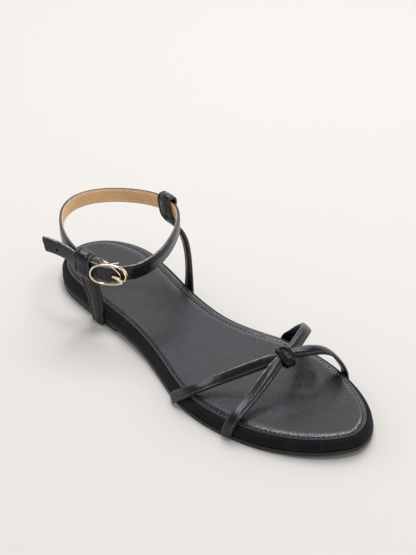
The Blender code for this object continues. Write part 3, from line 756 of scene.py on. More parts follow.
# %% Strap helper
SECTION_POINTS = 44
LEVEL_ROWS = 6
Groove = namedtuple("Groove", "across width depth faces")
Cap = namedtuple("Cap", "share out")
STRAP_CAP = table(Cap, (0.0, 0.3), (0.75, 0.25), (0.95, 0.0))
WIRE_CAP = table(Cap, (0.0, 0.0))


def swell(value, power):
    return np.sign(value) * np.abs(value) ** power


def strap_section(width, thickness, squareness=4.5, crown=0.0, grooves=(), arch=0.0):
    """Points of a strap's section: across the width and out of the face, in millimetres."""
    turns = math.pi - 2 * math.pi * (np.arange(SECTION_POINTS) + 0.5) / SECTION_POINTS
    across = width / 2 * swell(np.cos(turns), 2 / squareness)
    out = thickness / 2 * swell(np.sin(turns), 2 / squareness)
    out = out + crown * np.sign(out) * (1 - (2 * across / width) ** 2)
    for groove in grooves:
        dip = groove.depth * np.exp(-((across - groove.across) / groove.width) ** 2)
        faces = {"outer": out > 0, "inner": out < 0, "both": out != 0}[groove.faces]
        out = out - np.where(faces, np.sign(out) * dip, 0)
    return np.stack([across, out + arch * (0.5 - (2 * across / width) ** 2)], axis=1)


def strap_frames(centres, rulings, closed=False):
    """Directions at each place on a route: across the strap, out of its face and along it."""
    if closed:
        along = np.roll(centres, -1, axis=0) - np.roll(centres, 1, axis=0)
    else:
        along = np.gradient(centres, axis=0)
    along = unit(along)
    face = unit(np.cross(rulings, along))
    return np.cross(along, face), face, along


def strap_rings(centres, rulings, sections, closed=False, cap=STRAP_CAP):
    """Rings of a strap or a wire; a cap closes each end of an open one."""
    wide, face, along = strap_frames(centres, rulings, closed)
    sections = np.broadcast_to(sections, (len(centres), *np.shape(sections)[-2:]))
    rings = list(centres[:, None] + wide[:, None] * sections[..., :1] + face[:, None] * sections[..., 1:])
    if closed:
        return rings + rings[:1]
    start, end = [], []
    for share, out in cap:
        start.append(centres[0] + (rings[0] - centres[0]) * share - along[0] * out)
        end.insert(0, centres[-1] + (rings[-1] - centres[-1]) * share + along[-1] * out)
    return start + rings + end


def level_end(rings, direction, height):
    """Slides the first rows of a strap along a direction until its cut end lies level at a height."""
    slides = (height - rings[0][:, 2]) / direction[2]
    for i in range(LEVEL_ROWS):
        rings[i] = rings[i] + direction * (slides * (1 - i / LEVEL_ROWS))[:, None]


print("strap section has", SECTION_POINTS, "points")

# %% [markdown]
# ## Toe straps
# Two narrow straps cross over the forefoot and are gathered where the knot holds them. Each is laid along
# its own folds from the outer side to the inner side, with the stitch groove on the edge that looks to
# the toe. Near the crossing both slope down towards the toe and roll a little across their width. Their
# feet are cut level.

# %% Toe straps
TOE_STRAP_WIDTH = 6.3
TOE_STRAP_THICKNESS = 1.7
TOE_STRAP_ROWS = 150
KNOT_GATHER = 0.20
KNOT_REACH = 7
KNOT_SLOPE = 0.60
SLOPE_REACH = 24
ROLL_REACH = 30
ROLL_ARCH = 0.9
LENGTHWISE = np.array((0.0, -1.0, 0.0))
UPRIGHT = np.array((0.0, 0.0, 1.0))
TOE_STITCH = 1.95
TOE_GROOVE_WIDTH, TOE_GROOVE_DEPTH = 0.4, 0.30
TOE_SQUARENESS = 3.6
TOE_CROWN = 0.12
TOE_STRAP_TILT = 0.17
TILT_END_ACROSS = -20
WALL_HUG_TOP = 8
WALL_FREE_HEIGHT = 16
Fold = namedtuple("Fold", "across station height")
LATERAL_REAR_TO_MEDIAL_FRONT = table(
    Fold,
    (-41.9, 155.0, 2.6), (-41.6, 157.6, 5.2), (-39.9, 162.5, 9.0), (-36.7, 166.0, 11.6),
    (-27.1, 169.4, 14.1), (-9.9, 177.8, 20.0), (8.1, 186.9, 26.0), (14.6, 189.5, 26.9),
    (22.3, 192.5, 26.6), (30.0, 194.3, 23.8), (35.4, 195.5, 18.2), (39.3, 196.0, 12.0),
    (41.5, 196.1, 7.0), (42.0, 196.2, 2.6),
)
LATERAL_FRONT_TO_MEDIAL_REAR = table(
    Fold,
    (-38.5, 197.8, 2.6), (-38.2, 198.1, 5.4), (-36.8, 198.9, 9.1), (-34.1, 198.8, 11.5),
    (-25.5, 196.1, 13.9), (-11.2, 192.3, 19.1), (8.1, 186.9, 26.0), (16.0, 184.4, 26.8),
    (24.8, 179.9, 27.5), (31.0, 176.0, 27.2), (34.6, 172.2, 25.2), (36.7, 167.2, 21.0),
    (37.9, 161.0, 15.5), (38.5, 155.0, 9.5), (37.8, 151.5, 5.6), (37.6, 150.5, 2.6),
)
KNOT = Fold(8.1, 186.9, 26.0)


def fold_points(folds):
    return [place(*fold) for fold in folds]


def wall_along(side, station, reach=6):
    """Direction of the sole's wall at a station, towards the toe."""
    ends = np.array((station - reach, station + reach), float)
    widths = half_width(side, ends)
    return unit(place(widths[1], ends[1], 0) - place(widths[0], ends[0], 0))


def toe_rulings(centres):
    """Directions across a toe strap: along the wall at its feet, lengthwise above, sloped at the knot."""
    across, stations, heights = centres[:, 0] - START.x, START.y - centres[:, 1], centres[:, 2]
    walls = np.array([wall_along("lateral" if a < 0 else "medial", s) for a, s in zip(across, stations)])
    free = smoothstep(WALL_HUG_TOP, WALL_FREE_HEIGHT, heights)[:, None]
    tilt = TOE_STRAP_TILT * (1 - smoothstep(TILT_END_ACROSS, KNOT.across, across))
    tilt = tilt + KNOT_SLOPE * np.exp(-((across - KNOT.across) / SLOPE_REACH) ** 2)
    return unit(walls * (1 - free) + LENGTHWISE * free - UPRIGHT * tilt[:, None])


ToeStrap = namedtuple("ToeStrap", "piece centres rulings near")


def toe_strap(name, folds):
    """A toe strap, with its route, its directions and how near to the knot each place is."""
    centres = smooth_path(fold_points(folds), TOE_STRAP_ROWS)
    from_knot = np.linalg.norm(centres - place(*KNOT), axis=1)
    near = np.exp(-(from_knot / KNOT_REACH) ** 2)
    arches = ROLL_ARCH * np.exp(-(from_knot / ROLL_REACH) ** 2)
    sections = []
    for gather, arch in zip(near, arches):
        width = TOE_STRAP_WIDTH * (1 - KNOT_GATHER * gather)
        groove = Groove(TOE_STITCH * width / TOE_STRAP_WIDTH, TOE_GROOVE_WIDTH, TOE_GROOVE_DEPTH, "outer")
        section = strap_section(width, TOE_STRAP_THICKNESS, TOE_SQUARENESS, TOE_CROWN, [groove], arch)
        sections.append(section)
    rulings = toe_rulings(centres)
    rings = strap_rings(centres, rulings, np.array(sections))
    along = strap_frames(centres, rulings)[2]
    for direction in (along[0], along[-1]):
        level_end(rings, direction, FOOTBED_BASE)
        rings.reverse()
    return ToeStrap(loft(name, rings), centres, rulings, near)


toe_straps = [toe_strap("toe_strap_rear", LATERAL_REAR_TO_MEDIAL_FRONT),
              toe_strap("toe_strap_front", LATERAL_FRONT_TO_MEDIAL_REAR)]
for strap in toe_straps:
    dress(strap.piece, TOE_LEATHER, "strap_leather", "toe_straps")

# %% [markdown]
# ## Knot
# A short band is wrapped once round the crossing and pulled tight, sloped with the straps. Tight leather
# wrinkles along the pull, so fine ripples run round the band, and its section is thick and soft.

# %% Knot band
KNOT_BAND_WIDTH = 6.5
KNOT_BAND_THICKNESS = 1.5
KNOT_LENGTH = 10.2
KNOT_HEIGHT = 4.6
KNOT_FORWARD = 0.9
KNOT_TILT = math.radians(17)
KNOT_ROWS = 80
KNOT_RIPPLE = 0.24
KNOT_RIPPLE_PITCH = 2.1
KNOT_FLARE = 0.5
KNOT_FLARE_TURN = 2.4
KNOT_ROUNDING = 0.55
KNOT_SQUARENESS = 3.2
KNOT_CROWN = 0.15
KNOT_SWAY = 2.2
KNOT_PINCH = 0.10
Wrinkle = namedtuple("Wrinkle", "height across around")
KNOT_WRINKLES = [Wrinkle(0.9, 1.3, 5), Wrinkle(0.7, 2.9, -9)]


def knot_band():
    forward = unit(LENGTHWISE - UPRIGHT * KNOT_SLOPE)
    axis = np.array((math.cos(KNOT_TILT), 0, math.sin(KNOT_TILT)))
    axis = unit(axis - forward * (axis @ forward))
    over = np.cross(forward, axis)
    over = over * np.sign(over[2])
    turns = full_turn(KNOT_ROWS)
    u = swell(np.cos(turns), KNOT_ROUNDING) * KNOT_LENGTH / 2
    v = swell(np.sin(turns), KNOT_ROUNDING) * KNOT_HEIGHT / 2
    centres = place(*KNOT) + forward * (u + KNOT_FORWARD)[:, None] + over * v[:, None]
    across, out = strap_section(KNOT_BAND_WIDTH, KNOT_BAND_THICKNESS, KNOT_SQUARENESS, KNOT_CROWN).T
    sections = []
    for turn in turns:
        crease = np.cos(2 * math.pi * across / KNOT_RIPPLE_PITCH + KNOT_SWAY * math.sin(turn))
        for wrinkle in KNOT_WRINKLES:
            crease = crease + wrinkle.height * np.cos(wrinkle.across * across + wrinkle.around * turn)
        flare = KNOT_FLARE * np.clip(-2 * across / KNOT_BAND_WIDTH, 0, 1) ** 3
        flare = flare * max(math.cos(turn - KNOT_FLARE_TURN), 0)
        pinch = 1 - KNOT_PINCH * math.cos(2 * turn)
        lift_out = np.where(out > 0, KNOT_RIPPLE * crease, 0) + flare
        sections.append(np.stack([across * pinch, out + lift_out], axis=1))
    return loft("knot_band", strap_rings(centres, axis, np.array(sections), closed=True))


knot = knot_band()
dress(knot, KNOT_LEATHER, "strap_leather", "knot_loop")

# %% [markdown]
# ## Ring of the ankle strap
# The fastened ankle strap stands as a tilted ring. Its height wanders with the angle, where 0 is the
# inner side, 90 the front, 180 the outer side and 270 the back. Loops, buckle and elastic all hang on
# this ring.

# %% Ring
RING_ACROSS = -6.9
RING_STATION = 57.7
RING_HALF_ACROSS = 33.2
RING_HALF_LENGTH = 33.6
RING_HEIGHT = 49.7
RING_SIDE_RISE = 2.3
RING_BACK_RISE = 5.8
RING_SAG = 0.6
RING_TWIST = 2.8


def ring_normal(angle):
    a = math.radians(angle)
    return unit(np.array((math.cos(a) / RING_HALF_ACROSS, -math.sin(a) / RING_HALF_LENGTH, 0)))


def ring_point(angle, out=0.0):
    a = math.radians(angle)
    height = RING_HEIGHT + RING_SIDE_RISE * math.cos(a) - RING_BACK_RISE * math.sin(a)
    height += RING_SAG * math.cos(2 * a) + RING_TWIST * math.sin(2 * a)
    across = RING_ACROSS + RING_HALF_ACROSS * math.cos(a)
    station = RING_STATION + RING_HALF_LENGTH * math.sin(a)
    return place(across, station, height) + ring_normal(angle) * out


def ring_along(angle):
    return unit(ring_point(angle + 0.5) - ring_point(angle - 0.5))


print("ring height at the back %.1f mm" % ring_point(270)[2])

# %% [markdown]
# ## Ankle strap
# One strap starts in the outer loop, runs round the back of the ankle, comes forward through the buckle
# and leaves the loop again as a free tip, cut on a slant. Outside it is the black leather, inside a tan
# lining, so its faces get two materials by their place round the section. Small cylinders sink the
# prong's holes into the outer face.

# %% Ankle strap
ANKLE_WIDTH = 8.8
ANKLE_THICKNESS = 1.8
ANKLE_ROWS = 300
ANKLE_START_ANGLE = 153
ANKLE_STITCH = 3.35
ANKLE_GROOVE_WIDTH, ANKLE_GROOVE_DEPTH = 0.4, 0.16
ANKLE_SQUARENESS = 5.5
ANKLE_CROWN = 0.05
ROUTE_POINTS = 96
TIP_SLANT = 2.4
TIP_SLANT_ROWS = 12
Layer = namedtuple("Layer", "angle out")
ANKLE_ROUTE = table(
    Layer,
    (ANKLE_START_ANGLE, 0.0), (210, 0.0), (270, 0.0), (330, 0.0), (380, 0.0), (412, -1.5), (440, -1.0),
    (460, 0.2), (474, 1.2), (485, 1.35), (496, 3.0), (506, 2.4), (514, 2.3), (522, 2.3), (530, 2.3),
)
Tip = namedtuple("Tip", "along out drop")
ANKLE_TIP = table(
    Tip,
    (8, 2.8, 1.1), (15, 3.8, 2.7), (23, 5.7, 4.9),
)


def ankle_route():
    angles = [row.angle for row in ANKLE_ROUTE]
    wanted = np.linspace(angles[0], angles[-1], ROUTE_POINTS)
    outs = cubic(angles, [row.out for row in ANKLE_ROUTE], wanted)[:, 0]
    route = [ring_point(a, o) for a, o in zip(wanted, outs)]
    base, leaving, outward = ring_point(angles[-1]), ring_along(angles[-1]), ring_normal(angles[-1])
    for tip in ANKLE_TIP:
        route.append(base + leaving * tip.along + outward * tip.out - UPRIGHT * tip.drop)
    return smooth_path(route, ANKLE_ROWS)


def edge_grooves(across, width, depth):
    """A groove along both edges, pressed into both faces."""
    return [Groove(side * across, width, depth, "both") for side in (-1, 1)]


ankle_centres = ankle_route()
ankle_wide, ankle_face, ankle_along = strap_frames(ankle_centres, UPRIGHT)
ankle_section = strap_section(ANKLE_WIDTH, ANKLE_THICKNESS, ANKLE_SQUARENESS, ANKLE_CROWN,
                              edge_grooves(ANKLE_STITCH, ANKLE_GROOVE_WIDTH, ANKLE_GROOVE_DEPTH))
ankle_rings = strap_rings(ankle_centres, UPRIGHT, ankle_section)
low_share = (0.5 - ankle_section[:, 0] / ANKLE_WIDTH)[:, None]
for i in range(TIP_SLANT_ROWS):
    slide = TIP_SLANT * (1 - i / TIP_SLANT_ROWS)
    ankle_rings[-1 - i] = ankle_rings[-1 - i] - ankle_along[-1] * low_share * slide
ankle = loft("ankle_strap_leather", ankle_rings)


def lining_leather():
    finish = Finish("tan_lining", (0.66, 0.40, 0.19), 0.6)
    tone = finish.span(finish.noise(8, 4), 0.3, 0.7, 0, 1)
    finish.colour(finish.mix(tone, (0.80, 0.49, 0.235), (0.88, 0.56, 0.29)))
    finish.bump(finish.noise(0.4, 3), 0.05, 0.5)
    return finish.material


# %% Holes and lining
HOLE_RUNS = (179.6, 190.2, 200.8, 237.2)
HOLE_DROP = 0.8
HOLE_RADIUS = 0.8
HOLE_OUT = 2.1
HOLE_SIDES = 18
CUTTER_LENGTH = 5


def cylinder(at, along, radius, length, sides, uvs=True):
    """Adds a cylinder at a place in millimetres, standing along a direction."""
    turn = Vector(along).to_track_quat("Z", "Y").to_euler()
    bpy.ops.mesh.primitive_cylinder_add(vertices=sides, radius=radius * MM, depth=length * MM,
                                        location=Vector(at) * MM, rotation=turn, calc_uvs=uvs)
    return bpy.context.object


def punch(piece, places, directions):
    """Sinks round holes into a piece with cylinders joined into one cutter."""
    cutters = [cylinder(at, out, HOLE_RADIUS, CUTTER_LENGTH, HOLE_SIDES, uvs=False)
               for at, out in zip(places, directions)]
    for cutter in cutters:
        cutter.select_set(True)
    bpy.ops.object.join()
    cutter = bpy.context.object
    boolean = piece.modifiers.new("holes", "BOOLEAN")
    boolean.operation = "DIFFERENCE"
    boolean.object = cutter
    bpy.context.view_layer.objects.active = piece
    bpy.ops.object.modifier_apply(modifier=boolean.name)
    bpy.data.objects.remove(cutter, do_unlink=True)
    piece.select_set(True)
    bpy.ops.object.shade_smooth_by_angle(angle=math.radians(SMOOTH_ANGLE))


hole_rows = np.searchsorted(run_along(ankle_centres), HOLE_RUNS)
hole_places = ankle_centres[hole_rows] - UPRIGHT * HOLE_DROP + ankle_face[hole_rows] * HOLE_OUT
punch(ankle, hole_places, ankle_face[hole_rows])
dress(ankle, ANKLE_LEATHER, "strap_leather", "ankle_strap")
ankle.data.materials.append(lining_leather())
INNER_FACE = (0.55, 0.95)
uv = ankle.data.uv_layers.active.data
for face in ankle.data.polygons:
    u = [uv[k].uv.x for k in face.loop_indices]
    face.material_index = int(INNER_FACE[0] < sum(u) / len(u) < INNER_FACE[1])
print("lined faces:", sum(f.material_index for f in ankle.data.polygons))

# %% [markdown]
# ## Heel straps
# An upright strap on each side of the heel carries the ankle strap. It goes up inside the ring, folds
# over it and comes down outside as a flap. Its edges are turned and pressed, so two grooves leave a
# raised middle band. The leg turns a little about its own length on the way up, and the foot is cut
# level.

# %% Heel straps
QUARTER_WIDTH = 10
QUARTER_THICKNESS = 1.8
QUARTER_ROWS = 200
QUARTER_GROOVE = 3.2
QUARTER_GROOVE_WIDTH, QUARTER_GROOVE_DEPTH = 0.5, 0.55
QUARTER_SQUARENESS = 5
QUARTER_CROWN = 0.1
QUARTER_LEG_SHARE = 0.6
LOOP_SLACK = 0.8
LOOP_CROWN = 1.6
# Heights of the loop's folds as shares of its top: up the inside, down the outside, then the flap
LOOP_INSIDE = (-0.7, 0.3, 1.0)
LOOP_BENDS = (135, 90, 45)
LOOP_OUTSIDE = (1.0, 0.3, -0.95)
FLAP_BEND, FLAP_END = -1.5, -2.05
HeelStrap = namedtuple(
    "HeelStrap", "side foot loop_angle layers_out flap_spare foot_height leg_turn entry_forward")
LATERAL_LEG = table(
    Fold,
    (-30.6, 66.0, 0.6), (-30.7, 66.0, 4.6), (-30.9, 66.0, 9.0), (-31.3, 66.0, 14.0), (-32.8, 66.2, 23.0),
    (-35.0, 66.5, 32.0),
)
MEDIAL_LEG = table(
    Fold,
    (25.2, 77.2, 4.6), (25.5, 77.2, 10.0), (26.3, 76.2, 18.0), (27.6, 73.0, 30.0), (26.6, 67.6, 41.0),
)
HEEL_STRAPS = table(
    HeelStrap,
    ("lateral", LATERAL_LEG, 158.5, 2.25, 0.1, 0.6, 16, 0.0),
    ("medial", MEDIAL_LEG, 358.5, 0.0, 3.0, 4.5, -15, 2.0),
)


def loop_turns(layers_out, flap_spare):
    """Places of the fold round the ankle strap: distance outside the ring and above its middle."""
    clear = ANKLE_THICKNESS / 2 + SEAT_GAP + QUARTER_THICKNESS / 2
    inner = -clear - LOOP_SLACK
    outer = layers_out + clear + LOOP_SLACK / 4
    top = ANKLE_WIDTH / 2 + 2 * SEAT_GAP
    middle, radius = (inner + outer) / 2, (outer - inner) / 2
    turns = [(inner, share * top) for share in LOOP_INSIDE]
    for a in np.radians(LOOP_BENDS):
        turns.append((middle + radius * math.cos(a), top + LOOP_CROWN * math.sin(a)))
    turns += [(outer, share * top) for share in LOOP_OUTSIDE]
    flap = inner + QUARTER_THICKNESS + SEAT_GAP + flap_spare
    return turns + [((outer + flap) / 2, FLAP_BEND * top), (flap, FLAP_END * top)]


def heel_strap(strap):
    points = fold_points(strap.foot)
    base, outward = ring_point(strap.loop_angle), ring_normal(strap.loop_angle)
    along = ring_along(strap.loop_angle)
    along = along * np.sign(along @ LENGTHWISE)
    for out, up in loop_turns(strap.layers_out, strap.flap_spare):
        points.append(base + outward * out + UPRIGHT * up)
    points[len(strap.foot)] = points[len(strap.foot)] + along * strap.entry_forward
    centres = smooth_path(points, QUARTER_ROWS)
    wall = wall_along(strap.side, strap.foot[0].station)
    share = smoothstep(points[1][2], points[len(strap.foot) - 1][2], centres[:, 2])[:, None]
    rulings = unit(wall * (1 - share) + along * share)
    leg = np.clip(np.linspace(0, 1, QUARTER_ROWS) / QUARTER_LEG_SHARE, 0, 1)
    turns = math.radians(strap.leg_turn) * np.sin(math.pi * leg)
    rulings = np.array([Matrix.Rotation(turn, 3, "Z") @ Vector(r) for turn, r in zip(turns, rulings)])
    section = strap_section(QUARTER_WIDTH, QUARTER_THICKNESS, QUARTER_SQUARENESS, QUARTER_CROWN,
                            edge_grooves(QUARTER_GROOVE, QUARTER_GROOVE_WIDTH, QUARTER_GROOVE_DEPTH))
    rings = strap_rings(centres, rulings, section)
    level_end(rings, strap_frames(centres, rulings)[2][0], strap.foot_height)
    return loft("heel_strap_" + strap.side, rings)


for strap in HEEL_STRAPS:
    dress(heel_strap(strap), HEEL_LEATHER, "strap_leather", "quarter_strap_" + strap.side)

# %% [markdown]
# ## Buckle
# The buckle is a polished oval of pale gold wire, heavier at its front, with a thin second rim inside the
# front end. A bar drops behind the strap, its steel painted dark as shade, and a bright hook plate behind
# the top rail holds the elastic. All of them are set out along the strap at the buckle's angle and swung a
# little out of its line.

# %% Buckle places
BUCKLE_ANGLE = 136
BUCKLE_HALF_LENGTH = 9.8
BUCKLE_HALF_HEIGHT = 6.1
BUCKLE_SQUARENESS = 2.4
BUCKLE_WIRE = 0.85
BUCKLE_END_OUT = 3.7
BUCKLE_BAR_OUT = 0.1
BUCKLE_BAR_RADIUS = 0.8
BUCKLE_SWING = math.radians(7.5)
STRAP_OVER_BAR = 3.0
PRONG_WIDTH = 2.0
PRONG_THICKNESS = 1.1

strap_forward = -ring_along(BUCKLE_ANGLE)
strap_outward = ring_normal(BUCKLE_ANGLE)
buckle_forward = strap_forward * math.cos(BUCKLE_SWING) - strap_outward * math.sin(BUCKLE_SWING)
buckle_upward = unit(np.cross(strap_forward, strap_outward))
buckle_upward = buckle_upward * np.sign(buckle_upward[2])
buckle_outward = np.cross(buckle_upward, buckle_forward)
buckle_outward = buckle_outward * np.sign(buckle_outward @ strap_outward)


def buckle_place(u, out, w):
    """Point by the buckle: forwards along the strap, out from the ankle, up the strap's width."""
    return ring_point(BUCKLE_ANGLE) + buckle_forward * u + buckle_outward * out + buckle_upward * w


def plated_metal():
    finish = Finish("pale_gold_plating", (0.90, 0.74, 0.57), 0.10, 1.0)
    smear = finish.span(finish.noise(2.0, 3), 0.35, 0.7, 0.06, 0.15)
    finish.roughness(smear)
    finish.bump(finish.noise(0.9, 2), 0.02, 0.3)
    return finish.material


GOLD = plated_metal()
SILVER = Finish("bright_steel", (0.93, 0.92, 0.90), 0.16, 1.0).material
# The bar's steel is painted dark, as shade behind the strap.
PAINTED_SHADE_STEEL = Finish("steel_painted_shade", (0.03, 0.03, 0.032), 0.35, 1.0).material
print("buckle stands at", np.round(buckle_place(0, 0, 0), 1), "mm")

# %% Buckle frame and bar
BUCKLE_ROWS = 120
BUCKLE_WIRE_LOOK = 0.58
FRONT_TURN = (0.3, 1.0)
FRONT_HEAVIER = (0.9, 0.6)
BAR_LOOK_RADIUS = 0.36
INNER_RIM = [(0.6, 5.75), (2.6, 4.2), (5.0, 2.2), (6.4, 0.4), (7.0, -1.5), (7.3, -3.4), (6.6, -4.9)]
INNER_RIM_OUT = 3.4
INNER_RIM_RADIUS = 0.34
HOOK_CORNERS = [(-3.6, 5.9), (-3.3, 7.1), (0.8, 5.3), (5.2, 6.6), (2.8, 4.1), (1.3, 2.6), (0.2, 3.9)]
HOOK_LAYERS = table(Cap, (0.0, -0.5), (0.86, -0.5), (1.0, -0.3), (1.0, 0.3), (0.86, 0.5), (0.0, 0.5))
HOOK_OUT = 0.9
HOOK_THICKNESS = 0.8
HOOK_SMOOTH = 35
WIRE_SIDES = 20
BAR_ROWS = 60
BarTurn = namedtuple("BarTurn", "share below")
BAR_LEG = table(BarTurn, (0.0, 0.0), (0.5, 0.0), (0.88, 0.5), (1.0, 1.5), (1.0, 3.0), (1.0, 4.5))


def wire_section(radii):
    """Oval section of a wire from its two radii, or one section for each row of radii."""
    turns, radii = full_turn(WIRE_SIDES), np.asarray(radii)
    return np.stack([np.cos(turns) * radii[..., :1], np.sin(turns) * radii[..., 1:]], axis=-1)


def thin_wire(name, route, ruling, radius):
    centres = smooth_path(route, BAR_ROWS)
    return loft(name, strap_rings(centres, ruling, wire_section((radius, radius)), cap=WIRE_CAP))


def buckle_oval():
    turns = full_turn(BUCKLE_ROWS)
    u = BUCKLE_HALF_LENGTH * swell(np.cos(turns), 2 / BUCKLE_SQUARENESS)
    w = BUCKLE_HALF_HEIGHT * swell(np.sin(turns), 2 / BUCKLE_SQUARENESS)
    centres = np.array([buckle_place(a, BUCKLE_END_OUT, b) for a, b in zip(u, w)])
    front = smoothstep(*FRONT_TURN, np.cos(turns))
    radii = BUCKLE_WIRE_LOOK * (1 + np.outer(front, FRONT_HEAVIER))
    return loft("buckle_oval", strap_rings(centres, buckle_outward, wire_section(radii), closed=True))


def buckle_bar():
    drop = BUCKLE_END_OUT - BUCKLE_BAR_OUT
    leg = [(BUCKLE_END_OUT - drop * turn.share, BUCKLE_HALF_HEIGHT - turn.below) for turn in BAR_LEG]
    route = [buckle_place(0, out, w) for out, w in leg]
    route += [buckle_place(0, out, -w) for out, w in reversed(leg)]
    return thin_wire("buckle_bar", route, buckle_forward, BAR_LOOK_RADIUS)


def buckle_inner_rim():
    """Thin second rim beside the front end, as the frame's end is a double band."""
    route = [buckle_place(u, INNER_RIM_OUT, w) for u, w in INNER_RIM]
    return thin_wire("buckle_inner_rim", route, buckle_outward, INNER_RIM_RADIUS)


def buckle_hook():
    """Flat bright plate behind the top rail that the elastic holds on to."""
    middle = np.mean(HOOK_CORNERS, axis=0)
    rings = []
    for share, out in HOOK_LAYERS:
        corners = middle + (np.array(HOOK_CORNERS) - middle) * share
        rings.append([buckle_place(u, HOOK_OUT + out * HOOK_THICKNESS, w) for u, w in corners])
    return loft("buckle_hook", rings, HOOK_SMOOTH)


for make, metal in ((buckle_oval, GOLD), (buckle_inner_rim, GOLD),
                    (buckle_hook, SILVER), (buckle_bar, PAINTED_SHADE_STEEL)):
    dress(make(), metal, "buckle_metal", "buckle_frame")

# %% [markdown]
# ## Prong
# The prong comes out of a hole in the strap, lies flat over it and rests on the front rim, leaning to the
# lower side; a short sleeve, its eye, sits round the rim there. The prong starts as a cube that is cut
# into short lengths. Its corners are carried to the buckle, slimmer near the hole, and a bevel softens
# the edges. The eye is a bevelled cylinder.

# %% Prong
PRONG_START = 2.2
PRONG_CUTS = 10
PRONG_LEAN = -0.42
PRONG_SLIMMEST = 0.55
PRONG_TAPER = 0.45
PRONG_BEVEL = 0.28
EYE_PLACE = (8.5, -3.3)
EYE_OUT = 0.15
EYE_RADIUS = 1.25
EYE_LENGTH = 2.6
EYE_SIDES = 28
EYE_BEVEL = 0.3
EYE_FORWARD, EYE_UPWARD = 0.45, 0.9
BEVEL_SEGMENTS = 3
BEVEL_SMOOTH = 50
OVER_STRAP = STRAP_OVER_BAR + ANKLE_THICKNESS / 2 + SEAT_GAP + PRONG_THICKNESS / 2
OVER_RIM = BUCKLE_END_OUT + BUCKLE_WIRE + SEAT_GAP + PRONG_THICKNESS / 2
ProngRest = namedtuple("ProngRest", "forward out")
PRONG_REST = table(
    ProngRest,
    (PRONG_START, OVER_STRAP), (5.5, OVER_STRAP - 0.3),
    (BUCKLE_HALF_LENGTH - 2.0, OVER_RIM - 0.1), (BUCKLE_HALF_LENGTH - 1.0, OVER_RIM - 0.4),
)


def bevelled(piece, width):
    """Softens the edges of the active piece and finishes its mesh."""
    bevel = piece.modifiers.new("soft_edges", "BEVEL")
    bevel.width = width * MM
    bevel.segments = BEVEL_SEGMENTS
    bpy.ops.object.modifier_apply(modifier=bevel.name)
    finish_mesh(BEVEL_SMOOTH)
    return piece


def prong():
    bpy.ops.mesh.primitive_cube_add(size=1)
    piece = bpy.context.object
    piece.name = "buckle_tongue"
    piece.data.name = "buckle_tongue"
    bpy.ops.object.mode_set(mode="EDIT")
    bpy.ops.mesh.select_all(action="SELECT")
    bpy.ops.mesh.subdivide(number_cuts=PRONG_CUTS)
    bpy.ops.object.mode_set(mode="OBJECT")
    forwards, outs = zip(*PRONG_REST)
    for v in piece.data.vertices:
        share = v.co.x + 0.5
        u = forwards[0] + (forwards[-1] - forwards[0]) * share
        out = cubic(forwards, outs, [u])[0, 0] + v.co.z * PRONG_THICKNESS
        slim = PRONG_SLIMMEST + (1 - PRONG_SLIMMEST) * float(smoothstep(0, PRONG_TAPER, share))
        w = PRONG_LEAN * (u - forwards[0]) + v.co.y * PRONG_WIDTH * slim
        v.co = Vector(buckle_place(u, out, w) * MM)
    return bevelled(piece, PRONG_BEVEL)


def prong_eye():
    """Short sleeve of the prong round the rim."""
    u, w = EYE_PLACE
    along = unit(buckle_forward * EYE_FORWARD + buckle_upward * EYE_UPWARD)
    piece = cylinder(buckle_place(u, BUCKLE_END_OUT + EYE_OUT, w), along, EYE_RADIUS, EYE_LENGTH, EYE_SIDES)
    piece.name = "prong_eye"
    bpy.ops.object.transform_apply(location=True, rotation=True)
    return bevelled(piece, EYE_BEVEL)


for make in (prong_eye, prong):
    dress(make(), GOLD, "buckle_metal", "buckle_prong")

# %% [markdown]
# ## Elastic tie
# A short grey elastic runs from the outer loop to the buckle's hook plate, turns there and runs back. It
# is lifted so that it shows above the strap. Rubber cords inside it make ribs along its length, so its
# section is a wave.

# %% Elastic
ELASTIC_WIDTH = 7
ELASTIC_THICKNESS = 0.6
ELASTIC_ROWS = 90
ELASTIC_RIB = 1.0
ELASTIC_RIB_HEIGHT = 0.09
ELASTIC_RISE = 3.4
ELASTIC_TUCK = 1.6
ELASTIC_BAR_RISE = 2.6
ELASTIC_BEHIND_BAR = 3
ELASTIC_SQUARENESS = 5
ELASTIC_MIDDLE, ELASTIC_END = 0.6, 0.97
ELASTIC_BENDS = (-110, -60, 0, 60, 110)


def elastic_tape():
    finish = Finish("elastic_tape", (0.20, 0.20, 0.20), 0.8)
    weave = finish.span(finish.noise(0.5, 2, 0.6, (1, 1, 0.3)), 0.35, 0.65, 0, 1)
    finish.colour(finish.mix(weave, (0.07, 0.07, 0.07), (0.50, 0.49, 0.47)))
    finish.bump(weave, 0.12, 0.8)
    return finish.material


def elastic_tie():
    wrap = BUCKLE_BAR_RADIUS + SEAT_GAP + ELASTIC_THICKNESS / 2
    leg = (ELASTIC_THICKNESS + SEAT_GAP) / 2
    span = ANKLE_START_ANGLE - BUCKLE_ANGLE
    end, middle = BUCKLE_ANGLE + span * ELASTIC_END, BUCKLE_ANGLE + span * ELASTIC_MIDDLE
    rise, tuck = UPRIGHT * ELASTIC_RISE, UPRIGHT * ELASTIC_TUCK
    route = [ring_point(end, -leg) + tuck, ring_point(middle, -leg) + rise]
    for a in np.radians(ELASTIC_BENDS):
        forward, out = wrap * math.cos(a) - ELASTIC_BEHIND_BAR, BUCKLE_BAR_OUT + wrap * math.sin(a)
        route.append(buckle_place(forward, out, ELASTIC_BAR_RISE))
    route += [ring_point(middle, leg) + rise, ring_point(end, leg) + tuck]
    section = strap_section(ELASTIC_WIDTH, ELASTIC_THICKNESS, ELASTIC_SQUARENESS)
    wave = ELASTIC_RIB_HEIGHT * np.cos(2 * math.pi * section[:, 0] / ELASTIC_RIB)
    section[:, 1] += np.sign(section[:, 1]) * wave
    return loft("elastic_tie", strap_rings(smooth_path(route, ELASTIC_ROWS), buckle_upward, section))


